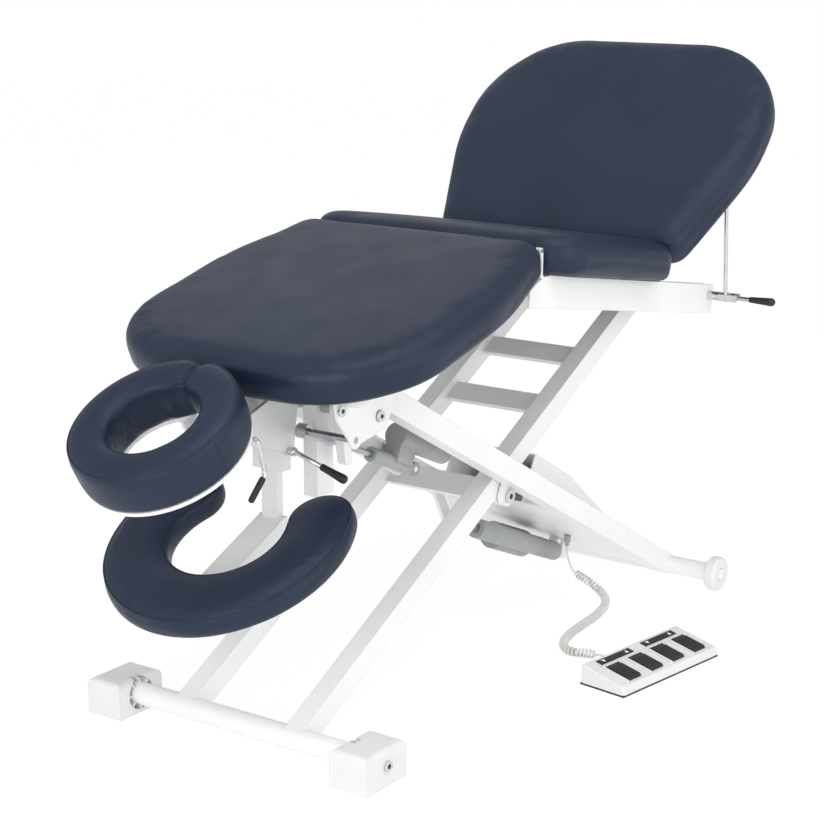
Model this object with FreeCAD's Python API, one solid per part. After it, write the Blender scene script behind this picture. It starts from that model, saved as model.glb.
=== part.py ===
import FreeCAD, Part
import math
import os

# Physiotherapy table with an electric scissor lift, a three-section top, a face cradle and an arm rest.
# Millimetres. X runs from the head end to the foot end, Z is up, and the table is symmetric about one XZ plane.
# The named sizes below are placed from the front cross tube, and the finished part is centred on the floor.

V = FreeCAD.Vector

# General fits and allowances
overrun = 5.0
half_turn_angle = 180.0
run_clearance = 0.08
soft_gap = 0.3
plate_gap = 1.0
tube_wall = 3.0

# Feet and front cross tube
foot_length = 129.0
foot_width = 92.0
foot_height = 77.0
foot_spread = 742.0
foot_edge_radius = 12.0
foot_pocket_radius = 35.0
foot_pocket_depth = 22.0
foot_rib_count = 8
foot_rib_width = 4.0
front_tube_radius = 24.0
front_tube_seat = 48.0
pivot_height = 43.0
axle_bolt_radius = 6.0
axle_bolt_head_radius = 11.0
axle_bolt_head_height = 6.0
tube_plug_length = 40.0

# Scissor legs: inner legs rise from the front tube, outer legs rise from the wheels
wheel_base = 1432.0
scissor_rise = 345.0
inner_leg_angle = 28.2
inner_leg_width = 44.0
inner_leg_depth = 50.0
inner_leg_offset = 145.0
outer_leg_angle = 29.0
outer_leg_width = 47.0
outer_leg_depth = 50.0
head_lug_weld = 24.0
leg_gap = 3.0
lug_thickness = 14.0
lug_radius = 24.0
scissor_pin_radius = 10.0
scissor_head_radius = 16.0
scissor_head_height = 7.0

# Cross members of the inner legs, by their distance along the leg
upper_bar_from = 1215.0
lower_bar_from = 1035.0
cross_bar_width = 60.0
cross_bar_thickness = 10.0
mid_plate_from = 750.0
mid_plate_to = 815.0
mid_plate_thickness = 8.0
mid_plate_drop = 14.0

# Rollers that carry the rear deck
roller_x = 1280.0
roller_drop = 95.8
roller_radius = 16.0
roller_width = 24.0
roller_shaft_radius = 8.0
roller_lug_radius = 20.0
roller_inner_face = 266.0

# Rear axle and wheels
rear_tube_radius = 22.5
wheel_radius = 43.0
wheel_width = 30.0
wheel_outer_face = 362.0
wheel_edge_radius = 8.0
wheel_gap = 6.0
wheel_bolt_radius = 9.0
wheel_bolt_head_radius = 15.0
wheel_bolt_head_height = 6.0
wheel_bolt_seat = 30.0

# Motor tray and cover between the outer legs, by their distance along the leg from the rear axle
tray_from = 90.0
tray_to = 616.0
tray_thickness = 4.0
cover_fold = 440.0
cover_height = 96.0
cover_tail_height = 34.0
cover_half_width = 115.0
cover_wall = 3.0
control_box_from = 300.0
control_box_length = 230.0
control_box_height = 70.0
control_box_half_width = 80.0
gland_along = 290.0
gland_y = -70.0
gland_radius = 8.0
gland_collar_share = 0.5

# Lift actuator
lift_rear_along = 200.0
lift_rear_drop = 58.0
lift_front_x = 770.0
lift_front_z = 282.0
lift_tube_radius = 24.0
lift_tube_length = 400.0
lift_rod_radius = 11.0
lift_rod_overlap = 60.0
lift_gear_radius = 21.0
lift_motor_radius = 34.0
lift_motor_length = 150.0
lift_motor_from = 70.0
lift_motor_side = 62.0
lift_pin_radius = 6.0
lift_eye_radius = 15.0
lift_eye_half_width = 12.0
lift_lug_thickness = 9.0
lift_open_clearance = 2.9
rod_room = 14.0

# Head pivot, its level cross shaft, the tilt actuator and what hangs on the shaft to hold it
head_pivot_x = 178.0
head_pivot_z = 687.0
head_shaft_radius = 12.5
head_lug_radius = 24.0
tilt_y = -94.0
tilt_rear_x = 467.0
tilt_rear_z = 494.0
tilt_tip_x = 101.0
tilt_tip_z = 653.0
tilt_arm_gap = 26.0
tilt_arm_thickness = 8.0
tilt_arm_depth = 40.0
tilt_tube_radius = 16.0
tilt_tube_length = 160.0
tilt_rod_radius = 7.0
tilt_rod_overlap = 60.0
tilt_motor_radius = 27.0
tilt_motor_length = 190.0
tilt_motor_lead = 86.0
tilt_motor_rise = 57.0
tilt_gear_length = 60.0
tilt_gear_half_width = 20.0
tilt_pin_radius = 6.0
tilt_eye_radius = 15.0
tilt_eye_half_width = 12.0
tilt_open_clearance = 1.2
tilt_tip_rod_radius = 7.0
hanger_width = 34.0
hanger_inner_face = 49.0
hanger_depth = 54.0
hanger_from = 155.0
hanger_bottom = 500.0
hanger_eye_radius = 22.0
stay_width = 20.0
stay_inner_face = 115.0
stay_depth = 24.0
stay_low_x = 193.0
stay_low_z = 580.0

# Top sections: the peak hinge and the back hinge lie at the middle of the upholstery's thickness
peak_x = 655.0
peak_z = 962.0
back_hinge_x = 1185.0
back_hinge_z = 872.0
front_angle = 14.5
back_angle = 45.0
pad_thickness = 74.0
pad_crown = 6.0
pad_end_gap = 5.0
back_end_gap = 6.5
board_thickness = 14.0
board_inset = 28.0
pad_height_shares = (0.0, 0.08, 0.25, 0.58, 0.782, 0.908, 0.976, 1.0)
pad_inset_shares = (0.2, 0.1, 0.035, 0.0, 0.0555, 0.164, 0.29, 0.42)
band_height_shares = (0.0, 0.08, 0.22, 0.5, 0.74, 0.89, 0.97, 1.0)
band_inset_shares = (0.24, 0.12, 0.045, 0.0, 0.066, 0.195, 0.345, 0.5)
crown_height_shares = (0.55, 1.0)
crown_inset_shares = (0.35, 0.62)

# Front section outline
front_length = 725.0
front_hinge_half_width = 315.0
front_half_width = 384.0
front_widest = 250.0
front_hinge_radius = 55.0
front_side_radius = 600.0
front_head_radius = 240.0

# Middle section outline
middle_half_width = 360.0
middle_corner_radius = 60.0
middle_peak_radius = 90.0

# Back section outline
back_length = 655.0
back_hinge_half_width = 335.0
back_half_width = 425.0
back_widest = 300.0
back_hinge_radius = 50.0
back_side_radius = 500.0
back_top_radius = 265.0

# Steel under the top: front frame, side plates and rear rails
side_plate_thickness = 6.0
front_rail_width = 30.0
front_rail_height = 30.0
front_rail_head = 625.0
front_rail_hinge = 45.0
hinge_bar_width = 30.0
head_bar_from = 560.0
side_plate_front = 20.0
side_plate_rear = 235.0
side_plate_radius = 18.0
side_plate_reach = 22.0
side_plate_drop = 30.0
plate_bolt_x = 52.0
plate_bolt_z = 722.0
plate_bolt_head_radius = 11.0
plate_bolt_head_height = 7.0
plate_bolt_radius = 6.0
rail_outer_face = 300.0
rail_flange = 38.0
rail_height = 72.0
rail_wall = 4.0
rail_from = 45.0
rail_to = 820.0
rail_nose = 30.0
rail_nose_start = 20.0
rail_nose_drop = 5.0
rail_nose_height = 39.0
rear_bar_places = (80.0, 420.0)
rear_bar_width = 40.0
rear_bar_height = 30.0

# Hinge ears and pins
ear_thickness = 6.0
ear_half_width = 5.8
ear_lean = 24.0
rail_ear_lean = 12.3
rail_ear_foot = 6.5
rail_ear_step = 36.0
ear_gap = 2.0
ear_foot_height = 24.0
hinge_pin_radius = 3.0
pin_head_radius = 4.8
pin_head_height = 2.5
strap_length = 75.0
strap_width = 26.0

# Prop rod of the back section
prop_reach = 274.1
prop_rail_angle = -26.17
prop_drop_angle = 12.4
prop_y = -345.0
prop_rod_radius = 5.0
prop_rod_length = 281.0
prop_eye_radius = 6.5
prop_lug_thickness = 6.0
prop_pin_radius = 4.0
clamp_half_height = 8.0
clamp_half_width = 14.0
clamp_spigot_radius = 7.0
clamp_washer_radius = 11.0
clamp_washer_thickness = 3.0
lever_bar_radius = 5.5
lever_bar_length = 70.0
lever_pivot_radius = 4.0
lever_fork_length = 20.0
lever_fork_gap = 0.5
lever_grip_length = 56.0
lever_grip_root_radius = 7.0
lever_grip_tip_radius = 10.0

# Face cradle: a ring cushion on a steel ring, tilted on a bracket under the head end
ring_x = -238.0
ring_z = 738.0
ring_angle = 29.7
ring_radius = 133.0
ring_half_width = 42.0
ring_thickness = 92.0
ring_crown = 7.0
ring_gap_angle = 26.0
ring_plate_thickness = 8.0
ring_plate_half_width = 34.0
cradle_pivot_x = -52.0
cradle_pivot_z = 668.0
cradle_pin_radius = 6.0
cradle_arm_offset = 48.0
cradle_arm_thickness = 8.0
cradle_arm_depth = 34.0
cradle_lug_radius = 16.0
cradle_bracket_thickness = 8.0
cradle_lever_radius = 4.5
cradle_hub_radius = 10.0
cradle_hub_length = 14.0
cradle_hub_seat = 10.0
cradle_lever_reach = 46.0
cradle_knee_out = 21.0
cradle_knee_drop = 72.0
cradle_sleeve_radius = 6.5
cradle_sleeve_length = 56.0
cradle_sleeve_seat = 10.0
cradle_sleeve_angle = 225.0

# Arm rest: a crescent cushion on a tray that slides on a post
rest_x = -33.0
rest_z = 464.0
rest_angle = 26.0
rest_radius = 194.0
rest_half_width = 70.0
rest_thickness = 52.0
rest_crown = 9.0
rest_half_angle = 118.0
rest_tray_thickness = 8.0
rest_tray_half_width = 46.0
post_x = 112.0
post_width = 40.0
post_thickness = 18.0
post_top = 712.0
post_bottom = 420.0
sleeve_wall = 4.0
sleeve_top = 730.0
sleeve_bottom = 560.0
rest_arm_half_width = 32.0
rest_arm_height = 20.0
rest_lever_z = 602.0
rest_lever_radius = 5.0
rest_lever_boss = 16.0
rest_lever_boss_radius = 9.0
rest_lever_out = 92.0
rest_lever_drop = 28.0
rest_grip_length = 56.0
rest_grip_root_radius = 7.0
rest_grip_tip_radius = 9.5

# Foot control on the floor
control_x = 846.0
control_y = -485.0
control_yaw = -8.0
control_length = 350.0
control_depth = 120.0
control_front_height = 24.0
control_rear_height = 48.0
control_edge_radius = 6.0
pedal_count = 4
pedal_length = 64.0
pedal_width = 46.0
pedal_pitch = 80.0
pedal_thickness = 9.0
pedal_front_margin = 14.0
pedal_gap = 1.0
pedal_rise = 4.0
pedal_pin_radius = 2.5
pocket_depth = 13.0

# Cord from the control box to the foot control
cord_radius = 2.5
cord_joint_gap = 0.1
coil_radius = 8.5
coil_count = 70
lead_points = (
    V(1164, -70, 133), V(1165, -71, 112), V(1168, -74, 93), V(1173, -78, 77), V(1180, -84, 62),
)
coil_points = (
    V(1180, -84, 62), V(1212, -116, 32), V(1203, -160, 11.6), V(1141, -199, 11.6), V(1065, -218, 11.6),
    V(975, -225, 11.6), V(898, -234, 11.6), V(838, -258, 11.6), V(812, -294, 11.6), V(827, -330, 11.6),
    V(832, -354, 11.6),
)
tail_points = (
    V(832, -354, 11.6), V(834, -366, 12), V(834, -384, 14), V(829, -403, 17), V(822.6, -420.3, 19),
)


def box(x0, x1, y0, y1, z0, z1):
    return Part.makeBox(x1 - x0, y1 - y0, z1 - z0, V(x0, y0, z0))


def rod(start, end, radius, end_radius=None):
    axis = end - start
    if end_radius is None or end_radius == radius:
        return Part.makeCylinder(radius, axis.Length, start, axis)
    return Part.makeCone(radius, end_radius, axis.Length, start, axis)


def across(x, z, y0, y1, radius):
    return rod(V(x, min(y0, y1), z), V(x, max(y0, y1), z), radius)


def plate(points, y0, y1):
    """A flat plate with its outline in XZ, between two Y faces."""
    outline = [V(x, min(y0, y1), z) for x, z in points]
    face = Part.Face(Part.makePolygon(outline + outline[:1]))
    return face.extrude(V(0, abs(y1 - y0), 0))


def tilted(shape, x, z, angle):
    """Moves a piece drawn along X at the origin to (x, z), turned up by the angle."""
    moved = shape.copy()
    moved.rotate(V(0, 0, 0), V(0, -1, 0), angle)
    moved.translate(V(x, 0, z))
    return moved


def turned(x, z, angle):
    """The place of a point after a turn about the origin, in XZ."""
    c = math.cos(math.radians(angle))
    s = math.sin(math.radians(angle))
    return x * c - z * s, x * s + z * c


def on_deck(u, w, x, z, angle):
    du, dw = turned(u, w, angle)
    return x + du, z + dw


def mirrored(shape):
    return shape.mirror(V(0, 0, 0), V(0, 1, 0))


def joined(shapes):
    whole = shapes[0].fuse(list(shapes[1:])) if len(shapes) > 1 else shapes[0]
    return whole.removeSplitter()


def box_tube(length_from, length_to, width, depth, centre_y):
    """A closed rectangular tube along X, centred on the X axis in Z."""
    outer = box(length_from, length_to, centre_y - width / 2, centre_y + width / 2, -depth / 2, depth / 2)
    inner = box(length_from + tube_wall, length_to - tube_wall, centre_y - width / 2 + tube_wall,
                centre_y + width / 2 - tube_wall, -depth / 2 + tube_wall, depth / 2 - tube_wall)
    return outer.cut(inner)


def outline_wire(corners, radii, inset, height):
    """A closed wire of lines and arcs round a convex outline, drawn in by the inset."""
    count = len(corners)
    lines = []
    for i in range(count):
        start = V(corners[i][0], corners[i][1], 0)
        end = V(corners[(i + 1) % count][0], corners[(i + 1) % count][1], 0)
        along = (end - start).normalize()
        lines.append((start + V(-along.y, along.x, 0) * inset, along))
    edges = []
    arcs = []
    for i in range(count):
        p, d = lines[i - 1]
        q, e = lines[i]
        cross = d.x * e.y - d.y * e.x
        reach = ((q.x - p.x) * e.y - (q.y - p.y) * e.x) / cross
        corner = p + d * reach
        turn = math.atan2(cross, d.dot(e))
        radius = radii[i] - inset
        tangent = radius * math.tan(turn / 2)
        first = corner - d * tangent
        last = corner + e * tangent
        centre = first + V(-d.y, d.x, 0) * radius
        bisector = (corner - centre).normalize()
        arcs.append((first, centre + bisector * radius, last))
    for i in range(count):
        first, middle, last = [V(p.x, p.y, height) for p in arcs[i]]
        following = arcs[(i + 1) % count][0]
        edges.append(Part.Arc(first, middle, last).toShape())
        edges.append(Part.LineSegment(last, V(following.x, following.y, height)).toShape())
    return Part.Wire(edges)


def cushion(corners, radii, crown, crown_reach):
    """An upholstered pad: full at the middle of its sides, drawn in below, rounded and crowned on top.
    Its skirt reaches down round the board that it is fixed to."""
    depth = pad_thickness + board_thickness
    sections = []
    for height_share, inset_share in zip(pad_height_shares, pad_inset_shares):
        sections.append((height_share * depth + board_bottom, inset_share * depth))
    for height_share, inset_share in zip(crown_height_shares, crown_inset_shares):
        sections.append((pad_thickness / 2 + height_share * crown, inset_share * crown_reach))
    wires = [outline_wire(corners, [max(r, inset + soft_gap) for r in radii], inset, height)
             for height, inset in sections]
    pocket = panel(corners, radii, board_inset - soft_gap, -pad_thickness / 2, board_thickness + overrun)
    return Part.makeLoft(wires, True, True).cut(pocket)


def panel(corners, radii, inset, top, thickness):
    face = Part.Face(outline_wire(corners, [max(r, inset + soft_gap) for r in radii], inset, top))
    return face.extrude(V(0, 0, -thickness))


def round_band(profile, radius, half_angle):
    """A band of constant section bent round the Z axis, open towards +X, with rounded ends.
    The profile lists (offset from the middle of the band, height)."""
    up = V(0, 0, 1)
    points = [V(radius + offset, 0, height) for offset, height in profile]
    face = Part.Face(Part.makePolygon(points + points[:1]))
    face.rotate(V(0, 0, 0), up, half_turn_angle - half_angle)
    pieces = [face.revolve(V(0, 0, 0), up, 2 * half_angle)]
    half = [(max(offset, 0.0), height) for offset, height in profile]
    kept = [p for i, p in enumerate(half) if i == 0 or p != half[i - 1]]
    for side in (-1, 1):
        end_angle = half_turn_angle + side * half_angle
        cap = Part.Face(Part.makePolygon([V(x, 0, z) for x, z in kept] + [V(kept[0][0], 0, kept[0][1])]))
        end = cap.revolve(V(0, 0, 0), up, half_turn_angle)
        end.rotate(V(0, 0, 0), up, end_angle + (half_turn_angle if side < 0 else 0))
        end.translate(V(radius * math.cos(math.radians(end_angle)),
                        radius * math.sin(math.radians(end_angle)), 0))
        pieces.append(end)
    return joined(pieces)


def band_profile(half_width, thickness, crown):
    """The section of a bent cushion, from its bottom edge round its crowned top."""
    right = [(half_width - inset * thickness, height * thickness - thickness)
             for height, inset in zip(band_height_shares, band_inset_shares)]
    right = [(max(x, half_width * crown_inset_shares[0]), z) for x, z in right]
    left = [(-x, z) for x, z in reversed(right)]
    return [(0.0, -thickness)] + right + [(0.0, crown)] + left


# Derived places
scissor = V(wheel_base / 2, 0, pivot_height + scissor_rise)
outer_leg_offset = inner_leg_offset + inner_leg_width / 2 + leg_gap + outer_leg_width / 2
inner_leg_outer = inner_leg_offset + inner_leg_width / 2
outer_leg_inner = outer_leg_offset - outer_leg_width / 2
outer_leg_outer = outer_leg_offset + outer_leg_width / 2
inner_leg_inner = inner_leg_offset - inner_leg_width / 2
rear_angle = math.degrees(math.atan2(back_hinge_z - peak_z, back_hinge_x - peak_x))
middle_length = math.hypot(back_hinge_x - peak_x, back_hinge_z - peak_z)
board_bottom = -pad_thickness / 2 - board_thickness
rail_slope = math.tan(math.radians(rear_angle))
roller_z = peak_z + (roller_x - peak_x) * rail_slope - roller_drop / math.cos(math.radians(rear_angle))


def on_inner_leg(x, z):
    """A world place seen along the inner leg: distance from the front tube, and height over the leg's axis."""
    return turned(x, z - pivot_height, -inner_leg_angle)


def on_outer_leg(x, z):
    return turned(wheel_base - x, z - pivot_height, -outer_leg_angle)


def from_outer_leg(along, height):
    x, z = turned(along, height, outer_leg_angle)
    return wheel_base - x, pivot_height + z


def outer_placed(shape):
    """Moves a piece drawn along the outer leg, from the rear axle towards the head end, to its place."""
    moved = shape.copy()
    moved.rotate(V(0, 0, 0), V(0, -1, 0), outer_leg_angle)
    moved = moved.mirror(V(0, 0, 0), V(1, 0, 0))
    moved.translate(V(wheel_base, 0, pivot_height))
    return moved


def inner_placed(shape):
    return tilted(shape, 0, pivot_height, inner_leg_angle)


def front_placed(shape):
    return tilted(shape, peak_x, peak_z, front_angle)


def rear_placed(shape):
    return tilted(shape, peak_x, peak_z, rear_angle)


def back_placed(shape):
    return tilted(shape, back_hinge_x, back_hinge_z, back_angle)


def foot_block():
    """A moulded end foot: a rounded block that holds the cross tube in a ribbed pocket on its inner end."""
    outer = foot_spread / 2
    inner = outer - foot_width
    block = box(-foot_length / 2, foot_length / 2, inner, outer, 0, foot_height)
    top_edges = [e for e in block.Edges if min(v.Z for v in e.Vertexes) > foot_height / 2]
    block = block.makeFillet(foot_edge_radius, top_edges)
    pocket = across(0, pivot_height, inner - overrun, inner + foot_pocket_depth, foot_pocket_radius)
    seat = across(0, pivot_height, inner - overrun, inner + front_tube_seat, front_tube_radius + run_clearance)
    ribs = []
    for i in range(foot_rib_count):
        rib = box(0, foot_pocket_radius + overrun, inner, inner + foot_pocket_depth,
                  -foot_rib_width / 2, foot_rib_width / 2)
        rib.rotate(V(0, 0, 0), V(0, 1, 0), 360.0 * i / foot_rib_count)
        rib.translate(V(0, 0, pivot_height))
        ribs.append(rib.common(block))
    bolt_hole = across(0, pivot_height, inner, outer + overrun, axle_bolt_radius)
    return joined([block.cut(pocket)] + ribs).cut(seat).cut(bolt_hole)


def foot_bolt():
    outer = foot_spread / 2
    inner_end = outer - foot_width + front_tube_seat - tube_plug_length / 2
    shank = across(0, pivot_height, inner_end, outer, axle_bolt_radius)
    head = across(0, pivot_height, outer, outer + axle_bolt_head_height, axle_bolt_head_radius)
    return shank.fuse(head).removeSplitter()


def front_cross_tube():
    end = foot_spread / 2 - foot_width + front_tube_seat - plate_gap
    tube = across(0, pivot_height, -end, end, front_tube_radius)
    bore = across(0, pivot_height, -end + tube_plug_length, end - tube_plug_length, front_tube_radius - tube_wall)
    tube = tube.cut(bore)
    for side in (-1, 1):
        tube = tube.cut(across(0, pivot_height, side * (end - tube_plug_length), side * (end + overrun),
                               axle_bolt_radius + run_clearance))
    return tube


def lug(x, z, y0, y1, radius, along, height, leg_placed, to_height):
    """A pivot lug welded to a leg: a round eye and the block that carries it."""
    eye = across(x, z, y0, y1, radius)
    low, high = min(height, to_height), max(height, to_height)
    block = leg_placed(box(along - radius, along + radius, min(y0, y1), max(y0, y1), low, high))
    return eye.fuse(block)


def inner_leg():
    top_along, top_height = on_inner_leg(roller_x, roller_z)
    pin_along, pin_height = on_inner_leg(scissor.x, scissor.z)
    tube = box_tube(0, top_along + roller_lug_radius, inner_leg_width, inner_leg_depth, inner_leg_offset)
    outer = inner_leg_outer
    weld = inner_leg_depth / 2 - tube_wall
    pieces = [inner_placed(tube)]
    pieces.append(lug(scissor.x, scissor.z, outer - lug_thickness, outer, lug_radius, pin_along, pin_height,
                      inner_placed, -weld))
    pieces.append(lug(roller_x, roller_z, outer - lug_thickness, outer, roller_lug_radius, top_along, top_height,
                      inner_placed, weld))
    leg = joined(pieces)
    leg = leg.cut(across(0, pivot_height, 0, outer + overrun, front_tube_radius))
    leg = leg.cut(across(scissor.x, scissor.z, 0, outer + overrun, scissor_pin_radius))
    return leg.cut(across(roller_x, roller_z, 0, outer + overrun, roller_shaft_radius))


def outer_leg():
    head_along, head_height = on_outer_leg(head_pivot_x, head_pivot_z)
    pin_along, pin_height = on_outer_leg(scissor.x, scissor.z)
    length = head_along - head_lug_radius + head_lug_weld
    tube = box_tube(0, length, outer_leg_width, outer_leg_depth, outer_leg_offset)
    weld = -outer_leg_depth / 2 + tube_wall
    inner, outer = outer_leg_inner, outer_leg_outer
    pieces = [outer_placed(tube)]
    pieces.append(lug(scissor.x, scissor.z, inner, inner + lug_thickness, lug_radius, pin_along, pin_height,
                      outer_placed, weld))
    pieces.append(lug(head_pivot_x, head_pivot_z, outer - lug_thickness, outer, head_lug_radius,
                      head_along, head_height, outer_placed, weld))
    leg = joined(pieces)
    leg = leg.cut(across(wheel_base, pivot_height, 0, outer + overrun, rear_tube_radius))
    leg = leg.cut(across(scissor.x, scissor.z, 0, outer + overrun, scissor_pin_radius + run_clearance))
    return leg.cut(across(head_pivot_x, head_pivot_z, 0, outer + overrun, head_shaft_radius + run_clearance))


def scissor_pin():
    outer_head = outer_leg_inner + lug_thickness + plate_gap / 2
    inner_head = inner_leg_outer - lug_thickness
    pin = across(scissor.x, scissor.z, inner_head, outer_head, scissor_pin_radius)
    cap = across(scissor.x, scissor.z, outer_head, outer_head + scissor_head_height, scissor_head_radius)
    spacer = across(scissor.x, scissor.z, inner_leg_outer, outer_leg_inner - plate_gap / 2, scissor_head_radius)
    return joined([pin, cap, spacer])


def inner_cross_plates():
    """Flat bars between the inner legs, and the plate under them that the lift actuator pushes."""
    wide = inner_leg_inner
    half = cross_bar_thickness / 2
    bars = [box(start, start + cross_bar_width, -wide, wide, -half, half)
            for start in (upper_bar_from, lower_bar_from)]
    bars.append(box(mid_plate_from, mid_plate_to, -wide, wide, -mid_plate_drop - mid_plate_thickness,
                    -mid_plate_drop))
    along, height = on_inner_leg(lift_front_x, lift_front_z)
    inner_face = lift_eye_half_width + plate_gap
    outer_face = inner_face + lift_lug_thickness
    pieces = [inner_placed(bar) for bar in bars]
    for side in (-1, 1):
        pieces.append(lug(lift_front_x, lift_front_z, side * inner_face, side * outer_face, lift_eye_radius,
                          along, height, inner_placed, -mid_plate_drop))
    pieces.append(across(lift_front_x, lift_front_z, -outer_face, outer_face, lift_pin_radius))
    return pieces


def roller_shaft():
    end = roller_inner_face + roller_width + plate_gap
    return across(roller_x, roller_z, -end, end, roller_shaft_radius)


def roller():
    solid = across(roller_x, roller_z, roller_inner_face, roller_inner_face + roller_width, roller_radius)
    return solid.cut(across(roller_x, roller_z, 0, rail_outer_face, roller_shaft_radius + run_clearance))


def rear_cross_tube():
    end = wheel_outer_face - wheel_width - wheel_gap
    tube = across(wheel_base, pivot_height, -end, end, rear_tube_radius)
    inner = end - wheel_bolt_seat - tube_wall
    tube = tube.cut(across(wheel_base, pivot_height, -inner, inner, rear_tube_radius - tube_wall))
    for side in (-1, 1):
        tube = tube.cut(across(wheel_base, pivot_height, side * (end - wheel_bolt_seat), side * (end + overrun),
                               wheel_bolt_radius))
    return tube


def wheel():
    inner = wheel_outer_face - wheel_width
    disc = across(wheel_base, pivot_height, inner, wheel_outer_face, wheel_radius)
    rims = [e for e in disc.Edges if e.Closed and e.Curve.TypeId == "Part::GeomCircle"]
    disc = disc.makeFillet(wheel_edge_radius, rims)
    hub = across(wheel_base, pivot_height, inner - wheel_gap + soft_gap, inner + wheel_edge_radius,
                 wheel_bolt_head_radius)
    recess = across(wheel_base, pivot_height, wheel_outer_face - wheel_bolt_head_height,
                    wheel_outer_face + overrun, wheel_bolt_head_radius + plate_gap)
    bore = across(wheel_base, pivot_height, 0, wheel_outer_face + overrun, wheel_bolt_radius + run_clearance)
    return disc.fuse(hub).removeSplitter().cut(recess).cut(bore)


def wheel_bolt():
    seat = wheel_outer_face - wheel_width - wheel_gap - wheel_bolt_seat
    under_head = wheel_outer_face - wheel_bolt_head_height + soft_gap
    shank = across(wheel_base, pivot_height, seat, under_head, wheel_bolt_radius)
    head = across(wheel_base, pivot_height, under_head, under_head + wheel_bolt_head_height,
                  wheel_bolt_head_radius)
    return shank.fuse(head).removeSplitter()


def rear_gusset():
    """A tray welded between the outer legs and the folded sheet cover that stands on it."""
    floor = -outer_leg_depth / 2
    tray = box(tray_from, tray_to, -outer_leg_inner, outer_leg_inner, floor, floor + tray_thickness)
    top = floor + tray_thickness
    skin = plate([(tray_from, top), (tray_to, top), (tray_to, cover_height), (cover_fold, cover_height),
                  (tray_from, cover_tail_height)], -cover_half_width, cover_half_width)
    room = plate([(tray_from + cover_wall, top - overrun), (tray_to + overrun, top - overrun),
                  (tray_to + overrun, cover_height - cover_wall), (cover_fold, cover_height - cover_wall),
                  (tray_from + cover_wall, cover_tail_height - cover_wall)],
                 -cover_half_width + cover_wall, cover_half_width - cover_wall)
    clevis_x, clevis_z = from_outer_leg(lift_rear_along, -lift_rear_drop)
    inner_face = lift_eye_half_width + plate_gap
    outer_face = inner_face + lift_lug_thickness
    pieces = [outer_placed(tray), outer_placed(skin.cut(room))]
    for side in (-1, 1):
        pieces.append(lug(clevis_x, clevis_z, side * inner_face, side * outer_face, lift_eye_radius,
                          lift_rear_along, -lift_rear_drop, outer_placed, floor + tray_thickness / 2))
    pieces.append(across(clevis_x, clevis_z, -outer_face, outer_face, lift_pin_radius))
    return joined(pieces)


def control_box():
    floor = -outer_leg_depth / 2 + tray_thickness
    case = box(control_box_from, control_box_from + control_box_length, -control_box_half_width,
               control_box_half_width, floor, floor + control_box_height)
    return outer_placed(case.makeFillet(foot_rib_width, case.Edges))


def cord_gland():
    x, z = from_outer_leg(gland_along, -outer_leg_depth / 2)
    start = V(x, gland_y, z)
    end = lead_points[0]
    middle = start + (end - start) * gland_collar_share
    collar = rod(start, middle, gland_radius)
    nose = rod(middle, end, gland_radius, cord_radius + plate_gap)
    return collar.fuse(nose).removeSplitter().cut(rear_gusset())


def actuator(rear, front, tube_length, tube_radius, rod_radius, rod_overlap, eye_radius, eye_half_width,
             pin_radius, open_clearance):
    """A linear actuator between two pins: a tube with an eye on the rear pin and a rod with a slack front eye.
    The rod's bore is deeper than the rod, so that the rod can also draw in."""
    axis = (front - rear).normalize()
    low, high = rear.y - eye_half_width, rear.y + eye_half_width
    neck = rear + axis * eye_radius
    tube_end = rear + axis * tube_length
    body = rod(neck, tube_end, tube_radius)
    eye = across(rear.x, rear.z, low, high, eye_radius)
    bore = rod(tube_end - axis * (rod_overlap + rod_room), tube_end + axis * overrun, rod_radius + soft_gap)
    pin = across(rear.x, rear.z, low - overrun, high + overrun, pin_radius + run_clearance)
    bridge = rod(rear, neck + axis * overrun, eye_half_width)
    housing = joined([body, eye, bridge]).cut(bore).cut(pin)
    front_eye = across(front.x, front.z, low, high, eye_radius)
    stem = rod(tube_end - axis * rod_overlap, front, rod_radius)
    front_hole = across(front.x, front.z, low - overrun, high + overrun, pin_radius + open_clearance)
    return housing, joined([stem, front_eye]).cut(front_hole), axis


def lift_actuator():
    rear_x, rear_z = from_outer_leg(lift_rear_along, -lift_rear_drop)
    rear = V(rear_x, 0, rear_z)
    front = V(lift_front_x, 0, lift_front_z)
    housing, stem, axis = actuator(rear, front, lift_tube_length, lift_tube_radius, lift_rod_radius,
                                   lift_rod_overlap, lift_eye_radius, lift_eye_half_width, lift_pin_radius,
                                   lift_open_clearance)
    side = V(0, lift_motor_side, 0)
    start = rear + axis * lift_motor_from + side
    motor = rod(start, start + axis * lift_motor_length, lift_motor_radius)
    gear_end = start + axis * lift_motor_radius
    gear = rod(gear_end - side, gear_end, lift_gear_radius)
    return joined([housing, motor, gear]), stem


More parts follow.
